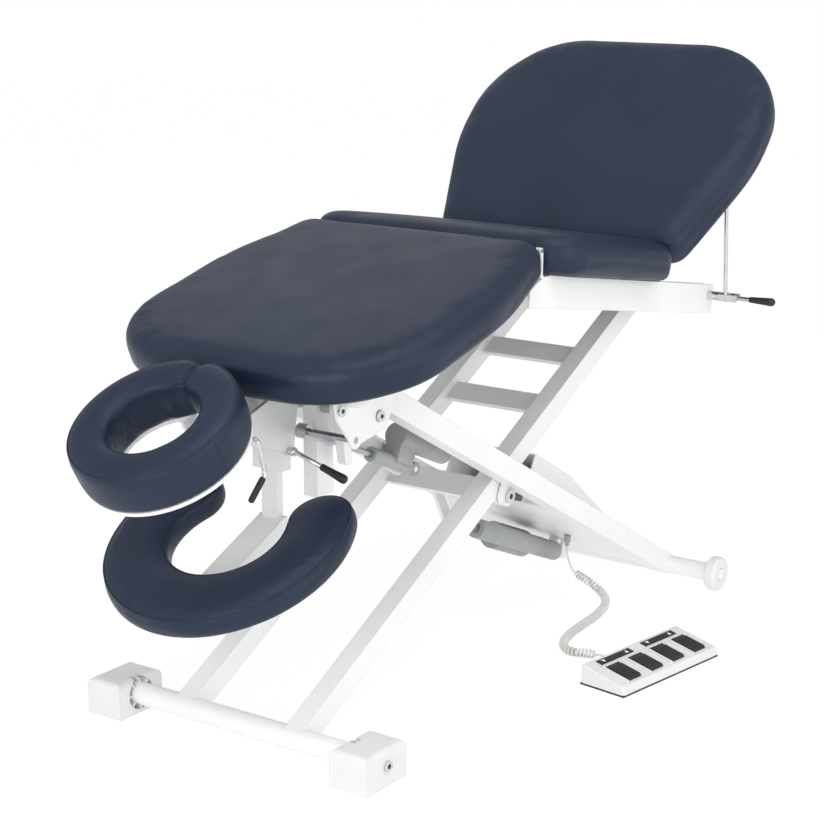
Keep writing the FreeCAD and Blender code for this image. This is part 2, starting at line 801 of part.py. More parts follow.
def tilt_actuator():
    """The tilt actuator lies along the right legs, with its motor above the tube and a gear case between."""
    rear = V(tilt_rear_x, tilt_y, tilt_rear_z)
    front = V(tilt_tip_x, tilt_y, tilt_tip_z)
    housing, stem, axis = actuator(rear, front, tilt_tube_length, tilt_tube_radius, tilt_rod_radius,
                                   tilt_rod_overlap, tilt_eye_radius, tilt_eye_half_width, tilt_pin_radius,
                                   tilt_open_clearance)
    up = V(axis.z, 0, -axis.x)
    front_cap = rear + axis * tilt_motor_lead + up * tilt_motor_rise
    motor = rod(front_cap, front_cap - axis * tilt_motor_length, tilt_motor_radius)
    first = rear + axis * tilt_motor_lead
    corners = [first, front_cap, front_cap - axis * tilt_gear_length, first - axis * tilt_gear_length]
    gear = plate([(c.x, c.z) for c in corners], tilt_y - tilt_gear_half_width, tilt_y + tilt_gear_half_width)
    bore = rod(first - axis * tilt_gear_length, front, tilt_rod_radius + soft_gap)
    keep = rod(rear, first - axis * tilt_gear_length, tilt_tube_radius)
    return joined([housing, motor, gear.cut(bore.cut(keep))]), stem


def head_cross_shaft():
    end = outer_leg_outer + plate_gap + side_plate_thickness - soft_gap
    return across(head_pivot_x, head_pivot_z, -end, end, head_shaft_radius)


def tilt_bracket():
    """A box hanger and a stay on the level head shaft, and the arm and pin that hold the tilt actuator's rear end."""
    start = V(head_pivot_x, 0, head_pivot_z)
    end = V(tilt_rear_x, 0, tilt_rear_z)
    length = (end - start).Length
    angle = math.degrees(math.atan2(end.z - start.z, end.x - start.x))
    hanger_outer = hanger_inner_face + hanger_width
    stay_outer = stay_inner_face + stay_width
    arm_high = tilt_y + tilt_eye_half_width + tilt_arm_gap
    arm_low = arm_high - tilt_arm_thickness
    shaft = across(start.x, start.z, -stay_outer - overrun, 0, head_shaft_radius)
    hanger = box(hanger_from, hanger_from + hanger_depth, -hanger_outer, -hanger_inner_face, hanger_bottom,
                 start.z + hanger_eye_radius)
    room = box(hanger_from + tube_wall, hanger_from + hanger_depth - tube_wall, -hanger_outer + tube_wall,
               -hanger_inner_face - tube_wall, hanger_bottom - overrun, start.z - hanger_eye_radius - tube_wall)
    hanger = hanger.cut(room).fuse(across(start.x, start.z, -hanger_outer, -hanger_inner_face, hanger_eye_radius))
    arm = box(0, length, arm_low, arm_high, -tilt_arm_depth / 2, tilt_arm_depth / 2)
    arm = arm.fuse(across(length, 0, arm_low, arm_high, tilt_arm_depth / 2))
    clear = box(hanger_from + tube_wall, hanger_from + hanger_depth - tube_wall, -hanger_outer, 0, 0,
                start.z - hanger_eye_radius - tube_wall)
    arm = tilted(arm, start.x, start.z, angle).cut(clear)
    pin = across(end.x, end.z, tilt_y - tilt_eye_half_width - plate_gap, arm_low, tilt_pin_radius)
    half = stay_depth / 2
    stay = plate([(start.x - half, start.z), (stay_low_x - half, stay_low_z), (stay_low_x + half, stay_low_z),
                  (start.x + half, start.z)], -stay_outer, -stay_inner_face)
    ends = [across(start.x, start.z, -stay_outer, -stay_inner_face, hanger_eye_radius),
            across(stay_low_x, stay_low_z, -stay_outer, -stay_inner_face, half)]
    return [joined([hanger, arm, pin]).cut(shaft), joined([stay] + ends).cut(shaft)]


side_plate_inner = outer_leg_outer + plate_gap
side_plate_outer = side_plate_inner + side_plate_thickness
front_corners = (
    (-front_length, -front_half_width), (-front_widest, -front_half_width), (0, -front_hinge_half_width),
    (0, front_hinge_half_width), (-front_widest, front_half_width), (-front_length, front_half_width),
)
front_radii = (front_head_radius, front_side_radius, front_hinge_radius,
               front_hinge_radius, front_side_radius, front_head_radius)
middle_corners = (
    (0, -middle_half_width), (middle_length, -middle_half_width),
    (middle_length, middle_half_width), (0, middle_half_width),
)
middle_radii = (middle_peak_radius, middle_corner_radius, middle_corner_radius, middle_peak_radius)
back_corners = (
    (0, -back_hinge_half_width), (back_widest, -back_half_width), (back_length, -back_half_width),
    (back_length, back_half_width), (back_widest, back_half_width), (0, back_hinge_half_width),
)
back_radii = (back_hinge_radius, back_side_radius, back_top_radius,
              back_top_radius, back_side_radius, back_hinge_radius)


def shifted(corners, start, end):
    """Draws the ends of an outline in, so that neighbouring sections keep their hinge gap."""
    low = min(u for u, v in corners)
    high = max(u for u, v in corners)
    moved = []
    for u, v in corners:
        if u == low:
            u = u + start
        elif u == high:
            u = u - end
        moved.append((u, v))
    return moved


front_outline = shifted(front_corners, 0, pad_end_gap)
middle_outline = shifted(middle_corners, pad_end_gap, back_end_gap)
back_outline = shifted(back_corners, back_end_gap, 0)


rail_ear_outer = rail_outer_face
rail_ear_inner = rail_ear_outer - ear_thickness
deck_ear_outer = rail_ear_inner - ear_gap
deck_ear_inner = deck_ear_outer - ear_thickness


def front_ear(side, grow):
    """One ear of the peak hinge on the front section, leaning clear of the middle pad; grown to cut its room."""
    top = board_bottom
    half = ear_half_width + grow
    low, high = sorted((side * (deck_ear_inner - grow), side * (deck_ear_outer + grow)))
    leaf = plate([(-half, 0), (-half - ear_lean, top), (-front_rail_hinge, top),
                  (-front_rail_hinge, top - ear_foot_height), (half - ear_lean, top - ear_foot_height),
                  (half - ear_lean, top), (half, 0)], low, high)
    return leaf.fuse(across(0, 0, low, high, half)).removeSplitter()


def front_frame():
    """Two box rails under the front board, a bar at each end, and the ears of the peak hinge."""
    top = board_bottom
    bottom = top - front_rail_height
    inner = side_plate_outer
    outer = inner + front_rail_width
    pieces = [box(-front_rail_head, -front_rail_hinge, side * inner if side > 0 else -outer,
                  outer if side > 0 else -inner, bottom, top) for side in (-1, 1)]
    pieces.append(box(-front_rail_hinge - hinge_bar_width, -front_rail_hinge, -deck_ear_outer, deck_ear_outer, bottom,
                      top))
    pieces.append(box(-head_bar_from - hinge_bar_width, -head_bar_from, -side_plate_inner, side_plate_inner, bottom,
                      top))
    pin_hole = across(0, 0, -rail_outer_face, rail_outer_face, hinge_pin_radius + run_clearance)
    for side in (-1, 1):
        pieces.append(front_ear(side, 0).cut(pin_hole))
    return [front_placed(piece) for piece in pieces]


def side_plate():
    """A rounded triangular plate that hangs the front section on the head pivot."""
    rear_top_u = -(peak_x - side_plate_rear) / math.cos(math.radians(front_angle))
    front_top_u = -(peak_x - side_plate_front) / math.cos(math.radians(front_angle))
    rail_bottom = board_bottom - front_rail_height
    rear_top = on_deck(rear_top_u, board_bottom, peak_x, peak_z, front_angle)
    front_top = on_deck(front_top_u, board_bottom, peak_x, peak_z, front_angle)
    rear_low = on_deck(rear_top_u, rail_bottom - side_plate_radius, peak_x, peak_z, front_angle)
    front_low = on_deck(front_top_u, rail_bottom - side_plate_radius, peak_x, peak_z, front_angle)
    pivot_low = (head_pivot_x + side_plate_reach, head_pivot_z - side_plate_drop)
    tip_right = (tilt_tip_x + side_plate_radius, tilt_tip_z - side_plate_radius / 2)
    tip_left = (tilt_tip_x - side_plate_radius, tilt_tip_z)
    web = plate([front_top, front_low, tip_left, tip_right, pivot_low, rear_low, rear_top],
                side_plate_inner, side_plate_outer)
    tip = across(tilt_tip_x, tilt_tip_z, side_plate_inner, side_plate_outer, side_plate_radius)
    web = joined([web, tip])
    web = web.cut(across(head_pivot_x, head_pivot_z, 0, foot_spread, head_shaft_radius + run_clearance))
    web = web.cut(across(tilt_tip_x, tilt_tip_z, 0, foot_spread, tilt_tip_rod_radius))
    return web.cut(across(plate_bolt_x, plate_bolt_z, 0, foot_spread, plate_bolt_radius))


def tilt_tip_rod():
    """The pin in the right plate's lower tip, which the tilt actuator pushes."""
    shoulder = tilt_y - tilt_eye_half_width - plate_gap
    end = tilt_y + tilt_eye_half_width + plate_gap
    root = across(tilt_tip_x, tilt_tip_z, -side_plate_outer, shoulder, tilt_tip_rod_radius)
    return root.fuse(across(tilt_tip_x, tilt_tip_z, shoulder, end, tilt_pin_radius)).removeSplitter()


def plate_bolts():
    """Domed bolts on the outer faces of the side plates: two at the head pivot and two at the front corner."""
    bolts = []
    for side in (-1, 1):
        for x, z, inner in ((head_pivot_x, head_pivot_z, side_plate_outer),
                            (plate_bolt_x, plate_bolt_z, side_plate_inner)):
            face = side_plate_outer
            head = across(x, z, side * face, side * (face + plate_bolt_head_height), plate_bolt_head_radius)
            if inner < face:
                head = head.fuse(across(x, z, side * inner, side * face, plate_bolt_radius)).removeSplitter()
            bolts.append(head)
    return bolts


def rail():
    """A channel open towards the middle, with a nose under the peak hinge and the two hinge ears on its web."""
    top = board_bottom
    bottom = top - rail_height
    inner = rail_outer_face - rail_flange
    channel = box(rail_from, rail_to, inner, rail_outer_face, bottom, top)
    room = box(rail_from - overrun, rail_to + overrun, inner - overrun, rail_outer_face - rail_wall,
               bottom + rail_wall, top - rail_wall)
    nose = plate([(rail_from, top), (rail_from, bottom), (-rail_nose, bottom), (-rail_nose, bottom + rail_nose_height),
                  (rail_nose_start, top - rail_nose_drop)], rail_outer_face - rail_wall, rail_outer_face)
    step = ear_half_width + rail_ear_lean - ear_half_width * 2
    foot = top - rail_nose_drop - rail_wall
    peak_ear = plate([(-ear_half_width, 0), (step, -rail_ear_step), (step, foot), (rail_nose_start + rail_wall, foot),
                      (step + rail_ear_foot, top), (ear_half_width, 0)], rail_ear_inner, rail_ear_outer)
    back_ear = box(middle_length - ear_half_width, middle_length + ear_half_width, rail_ear_inner, rail_ear_outer,
                   top - rail_wall, 0)
    relief = box(middle_length + ear_half_width, rail_to + overrun, inner - overrun, rail_outer_face + overrun,
                 top - plate_gap, top + overrun)
    pieces = [channel.cut(room).cut(relief), nose, peak_ear, back_ear]
    for centre in (0, middle_length):
        pieces.append(across(centre, 0, rail_ear_inner, rail_ear_outer, ear_half_width))
    shape = joined(pieces)
    for centre in (0, middle_length):
        shape = shape.cut(across(centre, 0, 0, rail_outer_face + overrun, hinge_pin_radius))
    clamp_u, clamp_w = clamp_place()
    return shape.cut(across(clamp_u, clamp_w, 0, rail_outer_face + overrun, clamp_spigot_radius + run_clearance))


def clamp_place():
    """The prop clamp on the rail, seen along the rear deck."""
    u, w = turned(prop_reach, 0, prop_rail_angle - rear_angle)
    return middle_length + u, w


def deck_cross_tubes():
    inner = rail_outer_face - rail_flange
    top = board_bottom
    return [rear_placed(box(start, start + rear_bar_width, -inner, inner, top - rear_bar_height, top))
            for start in rear_bar_places]


def hinge_pins():
    pins = []
    for centre in (0, middle_length):
        for side in (-1, 1):
            inner = deck_ear_inner - plate_gap
            pin = across(centre, 0, side * inner, side * rail_ear_outer, hinge_pin_radius)
            head = across(centre, 0, side * rail_ear_outer, side * (rail_ear_outer + pin_head_height),
                          pin_head_radius)
            pins.append(rear_placed(joined([pin, head])))
    return pins


def back_frame():
    """Straps let into the back board that carry its hinge ears; they stop short of the rail under them."""
    top = -pad_thickness / 2 - soft_gap
    bottom = board_bottom + plate_gap
    pieces = []
    for side in (-1, 1):
        low, high = sorted((side * deck_ear_inner, side * deck_ear_outer))
        ear = [across(0, 0, low, high, ear_half_width)]
        ear.append(box(-ear_half_width, ear_half_width, low, high, bottom, 0))
        ear.append(box(-ear_half_width, board_inset + strap_length, low, high, bottom, top))
        low, high = sorted((side * (deck_ear_outer - strap_width), side * deck_ear_outer))
        ear.append(box(board_inset + strap_length / 2, board_inset + strap_length, low, high, bottom, top))
        pieces.append(joined(ear).cut(across(0, 0, low - overrun, high + overrun,
                                             hinge_pin_radius + run_clearance)))
    return pieces


def strap_notches():
    """The room for the straps in the back board and in the skirt of its pad."""
    top = -pad_thickness / 2
    notches = []
    for side in (-1, 1):
        near = side * (deck_ear_inner - soft_gap)
        far = side * (deck_ear_outer + soft_gap)
        wide = side * (deck_ear_outer - strap_width - soft_gap)
        end = board_inset + strap_length + soft_gap
        notches.append(box(-ear_half_width - overrun, end, min(near, far), max(near, far), board_bottom - overrun,
                           top))
        notches.append(box(board_inset + strap_length / 2 - soft_gap, end, min(wide, far), max(wide, far),
                           board_bottom - overrun, top))
    return notches


def prop_top():
    u, w = turned(prop_reach, 0, -prop_drop_angle)
    return u, w


def back_lug():
    u, w = prop_top()
    y0 = prop_y + prop_eye_radius
    eye = across(u, w, y0, y0 + prop_lug_thickness, prop_eye_radius)
    block = box(u - prop_eye_radius, u + prop_eye_radius, y0, y0 + prop_lug_thickness, w, board_bottom)
    pin = across(u, w, prop_y - prop_eye_radius, y0 + prop_lug_thickness, prop_pin_radius)
    return joined([eye, block, pin])


def prop_rod():
    u, w = prop_top()
    top_x, top_z = on_deck(u, w, back_hinge_x, back_hinge_z, back_angle)
    clamp_u, clamp_w = clamp_place()
    low_x, low_z = on_deck(clamp_u, clamp_w, peak_x, peak_z, rear_angle)
    top = V(top_x, prop_y, top_z)
    axis = (V(low_x, prop_y, low_z) - top).normalize()
    stem = rod(top, top + axis * prop_rod_length, prop_rod_radius)
    eye_half = prop_eye_radius - soft_gap
    eye = across(top_x, top_z, prop_y - eye_half, prop_y + eye_half, prop_eye_radius)
    hole = across(top_x, top_z, prop_y - foot_width, prop_y + foot_width, prop_pin_radius + run_clearance)
    return joined([stem, eye]).cut(hole), V(low_x, prop_y, low_z), axis


def prop_clamp():
    """The swivel clamp on the rail: a block with the rod's bore, its spigot and the fork of the lever."""
    stem, place, axis = prop_rod()
    angle = math.degrees(math.atan2(-axis.z, -axis.x)) - 90.0
    block = box(-clamp_half_width, clamp_half_width, prop_y - clamp_half_width, prop_y + clamp_half_width,
                -clamp_half_height, clamp_half_height)
    inner = -rail_outer_face + rail_wall + soft_gap
    spigot = across(0, 0, prop_y, inner + clamp_washer_thickness, clamp_spigot_radius)
    washer = across(0, 0, inner, inner + clamp_washer_thickness, clamp_washer_radius)
    collar = across(0, 0, prop_y, -rail_outer_face - soft_gap, clamp_washer_radius)
    fork_outer = prop_y - clamp_half_width - lever_fork_length
    jaws = []
    for side in (-1, 1):
        near = side * (lever_bar_radius + lever_fork_gap)
        far = side * clamp_half_width
        jaws.append(box(min(near, far), max(near, far), fork_outer, prop_y - clamp_half_width,
                        -clamp_half_height, clamp_half_height))
    pivot_y = prop_y - clamp_half_width - lever_fork_length / 2
    pin = rod(V(-clamp_half_width, pivot_y, 0), V(clamp_half_width, pivot_y, 0), lever_pivot_radius)
    body = joined([block, collar, spigot, washer] + jaws + [pin])
    body = body.cut(rod(V(0, prop_y, -foot_width), V(0, prop_y, foot_width), prop_rod_radius + run_clearance))
    return tilted(body, place.x, place.z, angle), angle, place


def prop_lever():
    """The release lever: a bright bar on the clamp's fork pin, and its tapered rubber grip."""
    body, angle, place = prop_clamp()
    pivot_y = prop_y - clamp_half_width - lever_fork_length / 2
    end_y = pivot_y - lever_bar_length
    eye = rod(V(-lever_bar_radius, pivot_y, 0), V(lever_bar_radius, pivot_y, 0), clamp_half_height * 0.8)
    bar = rod(V(0, pivot_y, 0), V(0, end_y, 0), lever_bar_radius)
    hole = rod(V(-foot_width, pivot_y, 0), V(foot_width, pivot_y, 0), lever_pivot_radius + run_clearance)
    lever = joined([eye, bar]).cut(hole)
    grip_end = end_y - lever_grip_length / 2
    grip_root = end_y + lever_grip_length / 2
    grip = rod(V(0, grip_root, 0), V(0, grip_end, 0), lever_grip_root_radius, lever_grip_tip_radius)
    dome = Part.makeSphere(lever_grip_tip_radius, V(0, grip_end, 0))
    grip = joined([grip, dome]).cut(rod(V(0, grip_root + overrun, 0), V(0, end_y, 0), lever_bar_radius))
    return tilted(lever, place.x, place.z, angle), tilted(grip, place.x, place.z, angle)


def ring_placed(shape):
    return tilted(shape, ring_x, ring_z, ring_angle)


def face_pad():
    profile = band_profile(ring_half_width, ring_thickness, ring_crown)
    return ring_placed(round_band(profile, ring_radius, half_turn_angle - ring_gap_angle / 2))


def cradle_plate():
    """The steel ring under the face cushion and the two arms that reach back to its tilt pin."""
    top = -ring_thickness - soft_gap
    bottom = top - ring_plate_thickness
    half = ring_plate_half_width
    flat = [(-half, bottom), (half, bottom), (half, top), (-half, top)]
    ring = round_band(flat, ring_radius, half_turn_angle - ring_gap_angle)
    pieces = [ring_placed(ring)]
    pivot = V(cradle_pivot_x - ring_x, 0, cradle_pivot_z - ring_z)
    u, w = turned(pivot.x, pivot.z, -ring_angle)
    for side in (-1, 1):
        y0 = side * cradle_arm_offset
        y1 = side * (cradle_arm_offset + cradle_arm_thickness)
        start = ring_radius - ring_plate_half_width
        arm = plate([(start, bottom), (ring_radius + ring_plate_half_width, bottom), (u, w + cradle_lug_radius),
                     (u, w - cradle_lug_radius), (start, bottom - cradle_arm_depth)], y0, y1)
        eye = across(u, w, y0, y1, cradle_lug_radius)
        hole = across(u, w, y0 - overrun * side, y1 + overrun * side, cradle_pin_radius + run_clearance)
        pieces.append(ring_placed(joined([arm, eye]).cut(hole)))
    return joined(pieces)


def sleeve_faces():
    inner_x = post_thickness / 2 + soft_gap
    inner_y = post_width / 2 + soft_gap
    return inner_x, inner_y, inner_x + sleeve_wall, inner_y + sleeve_wall


def head_bracket():
    """The bracket under the head end: the sleeve of the arm rest's post and the ears of the cradle's tilt pin."""
    inner_x, inner_y, outer_x, outer_y = sleeve_faces()
    sleeve = box(post_x - outer_x, post_x + outer_x, -outer_y, outer_y, sleeve_bottom, sleeve_top)
    room = box(post_x - inner_x, post_x + inner_x, -inner_y, inner_y, sleeve_bottom - overrun, sleeve_top + overrun)
    pieces = []
    ear_y0 = cradle_arm_offset - plate_gap - cradle_bracket_thickness
    ear_y1 = cradle_arm_offset - plate_gap
    bar_top = on_deck(-head_bar_from - hinge_bar_width / 2, board_bottom - front_rail_height, peak_x, peak_z,
                      front_angle)
    for side in (-1, 1):
        web = plate([(cradle_pivot_x, cradle_pivot_z - cradle_lug_radius),
                     (post_x + outer_x, sleeve_bottom + cradle_arm_depth),
                     (bar_top[0] + hinge_bar_width, bar_top[1] + hinge_bar_width * math.tan(
                         math.radians(front_angle))),
                     (bar_top[0] - hinge_bar_width, bar_top[1] - hinge_bar_width * math.tan(
                         math.radians(front_angle))),
                     (cradle_pivot_x, cradle_pivot_z + cradle_lug_radius)],
                    side * ear_y0, side * ear_y1)
        eye = across(cradle_pivot_x, cradle_pivot_z, side * ear_y0, side * ear_y1, cradle_lug_radius)
        pieces.append(joined([web, eye]))
        filler = box(post_x - outer_x, post_x + outer_x, min(side * outer_y, side * ear_y0),
                     max(side * outer_y, side * ear_y0), sleeve_bottom, sleeve_bottom + cradle_arm_depth * 2)
        pieces.append(filler)
    end = cradle_arm_offset + cradle_arm_thickness + plate_gap
    pin = across(cradle_pivot_x, cradle_pivot_z, -end - cradle_hub_seat, end, cradle_pin_radius)
    whole = joined([sleeve] + pieces + [pin]).cut(room)
    bolt = rod(V(post_x, -inner_y + overrun, rest_lever_z), V(post_x, -foot_width, rest_lever_z),
               rest_lever_radius + run_clearance)
    return whole.cut(bolt)


def cradle_lever():
    """The bent locking lever on the end of the cradle's tilt pin, with its rubber sleeve."""
    start_y = -(cradle_arm_offset + cradle_arm_thickness + plate_gap)
    hub = across(cradle_pivot_x, cradle_pivot_z, start_y, start_y - cradle_hub_length, cradle_hub_radius)
    seat = across(cradle_pivot_x, cradle_pivot_z, 0, start_y - cradle_hub_seat - soft_gap,
                  cradle_pin_radius + run_clearance)
    elbow = V(cradle_pivot_x, start_y - cradle_lever_reach, cradle_pivot_z)
    reach = rod(V(cradle_pivot_x, start_y - cradle_hub_length, cradle_pivot_z), elbow, cradle_lever_radius)
    knee = elbow + V(cradle_knee_out, 0, -cradle_knee_drop)
    drop = rod(elbow, knee, cradle_lever_radius)
    bends = [Part.makeSphere(cradle_lever_radius, place) for place in (elbow, knee)]
    lean = math.radians(cradle_sleeve_angle)
    along = V(math.cos(lean), 0, math.sin(lean))
    neck = rod(knee, knee + along * (cradle_sleeve_seat + overrun), cradle_lever_radius)
    sleeve = rod(knee + along * cradle_sleeve_seat, knee + along * (cradle_sleeve_seat + cradle_sleeve_length),
                 cradle_sleeve_radius)
    return joined([hub, reach, drop] + bends + [neck, sleeve]).cut(seat)


def rest_placed(shape):
    return tilted(shape, rest_x, rest_z, rest_angle)


def armrest_pad():
    profile = band_profile(rest_half_width, rest_thickness, rest_crown)
    return rest_placed(round_band(profile, rest_radius, rest_half_angle))


def armrest_tray():
    """The crescent tray under the arm cushion."""
    top = -rest_thickness - soft_gap
    bottom = top - rest_tray_thickness
    half = rest_tray_half_width
    flat = [(-half, bottom), (half, bottom), (half, top), (-half, top)]
    return rest_placed(round_band(flat, rest_radius, rest_half_angle))


def armrest_post():
    """The flat post and the arm at its foot that carries the tray from below."""
    post = box(post_x - post_thickness / 2, post_x + post_thickness / 2, -post_width / 2, post_width / 2,
               post_bottom, post_top)
    under_tray = -rest_thickness - soft_gap - rest_tray_thickness
    front_x, front_z = on_deck(-rest_radius - rest_tray_half_width / 2, under_tray, rest_x, rest_z, rest_angle)
    back_x, back_z = on_deck(-rest_radius + rest_tray_half_width, under_tray, rest_x, rest_z, rest_angle)
    foot = post_x + post_thickness / 2
    arm = plate([(front_x, front_z), (back_x, back_z), (post_x, post_bottom + rest_arm_height * 2),
                 (foot, post_bottom + rest_arm_height * 2), (foot, post_bottom),
                 (back_x, back_z - rest_arm_height)],
                -rest_arm_half_width, rest_arm_half_width)
    return joined([post, arm]).cut(armrest_tray())


def armrest_lever():
    """The clamp screw of the sleeve, bent down into a bar with a tapered grip."""
    inner_x, inner_y, outer_x, outer_y = sleeve_faces()
    start = V(post_x, -inner_y, rest_lever_z)
    ear = cradle_arm_offset - plate_gap
    face = V(post_x, -ear - plate_gap / 2, rest_lever_z)
    boss_end = face - V(0, rest_lever_boss, 0)
    boss = rod(face, boss_end, rest_lever_boss_radius)
    screw = rod(start, boss_end, rest_lever_radius)
    end = boss_end - V(0, rest_lever_out, rest_lever_drop)
    along = (end - boss_end).normalize()
    bar = rod(boss_end, end, rest_lever_radius)
    corner = Part.makeSphere(rest_lever_radius, boss_end)
    grip_end = end + along * rest_grip_length / 2
    grip = rod(end - along * rest_grip_length / 2, grip_end, rest_grip_root_radius, rest_grip_tip_radius)
    dome = Part.makeSphere(rest_grip_tip_radius, grip_end)
    return joined([boss, screw, bar, corner, grip, dome])


control_slope = math.degrees(math.atan2(control_rear_height - control_front_height, control_depth))


def control_placed(shape):
    moved = shape.copy()
    moved.rotate(V(0, 0, 0), V(0, 0, 1), control_yaw)
    moved.translate(V(control_x, control_y, 0))
    return moved


def pedal_centre(index):
    return (index - (pedal_count - 1) / 2) * pedal_pitch


def on_slope(shape):
    """Lays a piece drawn on the floor plane onto the housing's sloping top, its front edge forward."""
    moved = shape.copy()
    moved.rotate(V(0, 0, 0), V(1, 0, 0), control_slope)
    moved.translate(V(0, -control_depth / 2, control_front_height))
    return moved


def pedal_pivot_place():
    return pedal_front_margin + pedal_length - pedal_thickness / 2


def foot_control_housing():
    """A wedge-shaped moulded case with one pocket for each pedal."""
    half = control_length / 2
    deep = control_depth / 2
    side = [V(-half, -deep, 0), V(-half, deep, 0), V(-half, deep, control_rear_height),
            V(-half, -deep, control_front_height)]
    wedge = Part.Face(Part.makePolygon(side + side[:1])).extrude(V(control_length, 0, 0))
    edges = [e for e in wedge.Edges if max(v.Z for v in e.Vertexes) > control_front_height / 2]
    wedge = wedge.makeFillet(control_edge_radius, edges)
    for i in range(pedal_count):
        x = pedal_centre(i)
        pocket = box(x - pedal_width / 2 - pedal_gap, x + pedal_width / 2 + pedal_gap,
                     pedal_front_margin - pedal_gap, pedal_front_margin + pedal_length + pedal_gap,
                     -pocket_depth, foot_height)
        wedge = wedge.cut(on_slope(pocket))
        pin = rod(V(x - pedal_width / 2 - pedal_gap - overrun, pedal_pivot_place(), 0),
                  V(x + pedal_width / 2 + pedal_gap + overrun, pedal_pivot_place(), 0), pedal_pin_radius)
        wedge = wedge.fuse(on_slope(pin))
    return control_placed(wedge)


def pedal(index):
    x = pedal_centre(index)
    lever = box(x - pedal_width / 2, x + pedal_width / 2, pedal_front_margin, pedal_front_margin + pedal_length,
                -pedal_thickness / 2, pedal_thickness / 2)
    tread = box(x - pedal_width / 2, x + pedal_width / 2, pedal_front_margin,
                pedal_front_margin + pedal_length - pedal_thickness, 0, pedal_thickness / 2 + pedal_rise)
    pin = rod(V(x - pedal_width, pedal_pivot_place(), 0), V(x + pedal_width, pedal_pivot_place(), 0),
              pedal_pin_radius + run_clearance)
    return control_placed(on_slope(joined([lever, tread]).cut(pin)))


def rounded_route(points):
    """Straight runs joined by arcs as large as the runs allow. Returns the edges and the least radius."""
    edges = []
    least = None
    last = points[0]
    for i in range(1, len(points) - 1):
        back = points[i - 1] - points[i]
        ahead = points[i + 1] - points[i]
        shorter = min(back.Length, ahead.Length)
        turn = math.pi - back.getAngle(ahead)
        tangent = 0.45 * shorter
        radius = tangent / math.tan(turn / 2)
        least = radius if least is None else min(least, radius)
        first = points[i] + back.normalize() * tangent
        second = points[i] + ahead.normalize() * tangent
        inward = (first + second) * 0.5 - points[i]
        middle = points[i] + inward.normalize() * (radius / math.cos(turn / 2) - radius)
        edges.append(Part.LineSegment(last, first).toShape())
        edges.append(Part.Arc(first, middle, second).toShape())
        last = second
    edges.append(Part.LineSegment(last, points[-1]).toShape())
    return edges, least


def cord_tube(points):
    edges, least = rounded_route(points)
    path = Part.Wire(edges)
    start = edges[0].tangentAt(edges[0].FirstParameter)
    circle = Part.Wire(Part.makeCircle(cord_radius, points[0], start))
    tube = path.makePipeShell([circle], True, False)
    print("cord stretch", round(path.Length, 1), "mm, least radius", round(least, 1), "mm, volume over section",
          round(tube.Volume / (math.pi * cord_radius ** 2 * path.Length), 4))
    return tube


def coil_route():
    edges, least = rounded_route(coil_points)
    return Part.Wire(edges), least


def coil_points_on(path, turns, per_turn):
    """Places of a helix wound round a route."""
    count = turns * per_turn
    stations = path.discretize(Number=count + 1)
    places = []
    side = V(0, 0, 1)
    for i, centre in enumerate(stations):
        before = stations[max(i - 1, 0)]
        after = stations[min(i + 1, count)]
        along = (after - before).normalize()
        side = (side - along * side.dot(along)).normalize()
        other = along.cross(side)
        angle = 2 * math.pi * i / per_turn
        places.append(centre + (side * math.cos(angle) + other * math.sin(angle)) * coil_radius)
    return places


def biarc(p, t, q, s):
    """Two tangent arcs from p with direction t to q with direction s."""
    chord = q - p
    total = t + s
    a = 2 * (1 - t.dot(s))
    b = 2 * chord.dot(total)
    c = -chord.dot(chord)
    d = (-b + math.sqrt(b * b - 4 * a * c)) / (2 * a) if abs(a) > 1e-9 else -c / b
    join = (p + q + (t - s) * d) * 0.5
    return [arc_from(p, t, join), arc_from(q, s * -1, join, True)]


def arc_from(start, tangent, end, turned_round=False):
    """The arc from a point with a direction to another point."""
    chord = end - start
    normal = chord - tangent * chord.dot(tangent)
    if normal.Length < 1e-6:
        line = (end, start) if turned_round else (start, end)
        return Part.LineSegment(*line).toShape()
    normal = normal.normalize()
    radius = chord.dot(chord) / (2 * chord.dot(normal))
    centre = start + normal * radius
    middle = ((start - centre) + (end - centre)).normalize() * radius + centre
    if turned_round:
        return Part.Arc(end, middle, start).toShape()
    return Part.Arc(start, middle, end).toShape()


def curly_cord():
    """One unbroken tube wound round its route on the floor."""
    path, least = coil_route()
    per_turn = 4
    places = coil_points_on(path, coil_count, per_turn)
    start_axis = (lead_points[-1] - lead_points[-2]).normalize()
    end_axis = (tail_points[1] - tail_points[0]).normalize()
    first = coil_points[0] + start_axis * cord_joint_gap
    last = coil_points[-1] - end_axis * cord_joint_gap
    knots = [first, first + start_axis * (2 * cord_radius)]
    knots = knots + places[per_turn:-per_turn]
    knots = knots + [last - end_axis * (2 * cord_radius), last]
    tangents = [start_axis, start_axis]
    for i in range(2, len(knots) - 2):
        tangents.append((knots[i + 1] - knots[i - 1]).normalize())
    tangents = tangents + [end_axis, end_axis]
    edges = [Part.LineSegment(knots[0], knots[1]).toShape()]
    for i in range(1, len(knots) - 2):
        edges = edges + biarc(knots[i], tangents[i], knots[i + 1], tangents[i + 1])
    edges.append(Part.LineSegment(knots[-2], knots[-1]).toShape())
    wire = Part.Wire(edges)
    circle = Part.Wire(Part.makeCircle(cord_radius, knots[0], start_axis))
    tube = wire.makePipeShell([circle], True, False)
    samples = wire.discretize(Number=coil_count * 24)
    window = 14
    gap = min((samples[i] - samples[j]).Length for i in range(len(samples))
              for j in range(i + window, min(i + 5 * window, len(samples))))
    print("curly cord", round(wire.Length, 1), "mm of cord, route", round(path.Length, 1), "mm, least bend of route",
          round(least, 1), "mm, least gap to itself", round(gap - 2 * cord_radius, 2), "mm, volume over section",
          round(tube.Volume / (math.pi * cord_radius ** 2 * wire.Length), 4))
    return tube


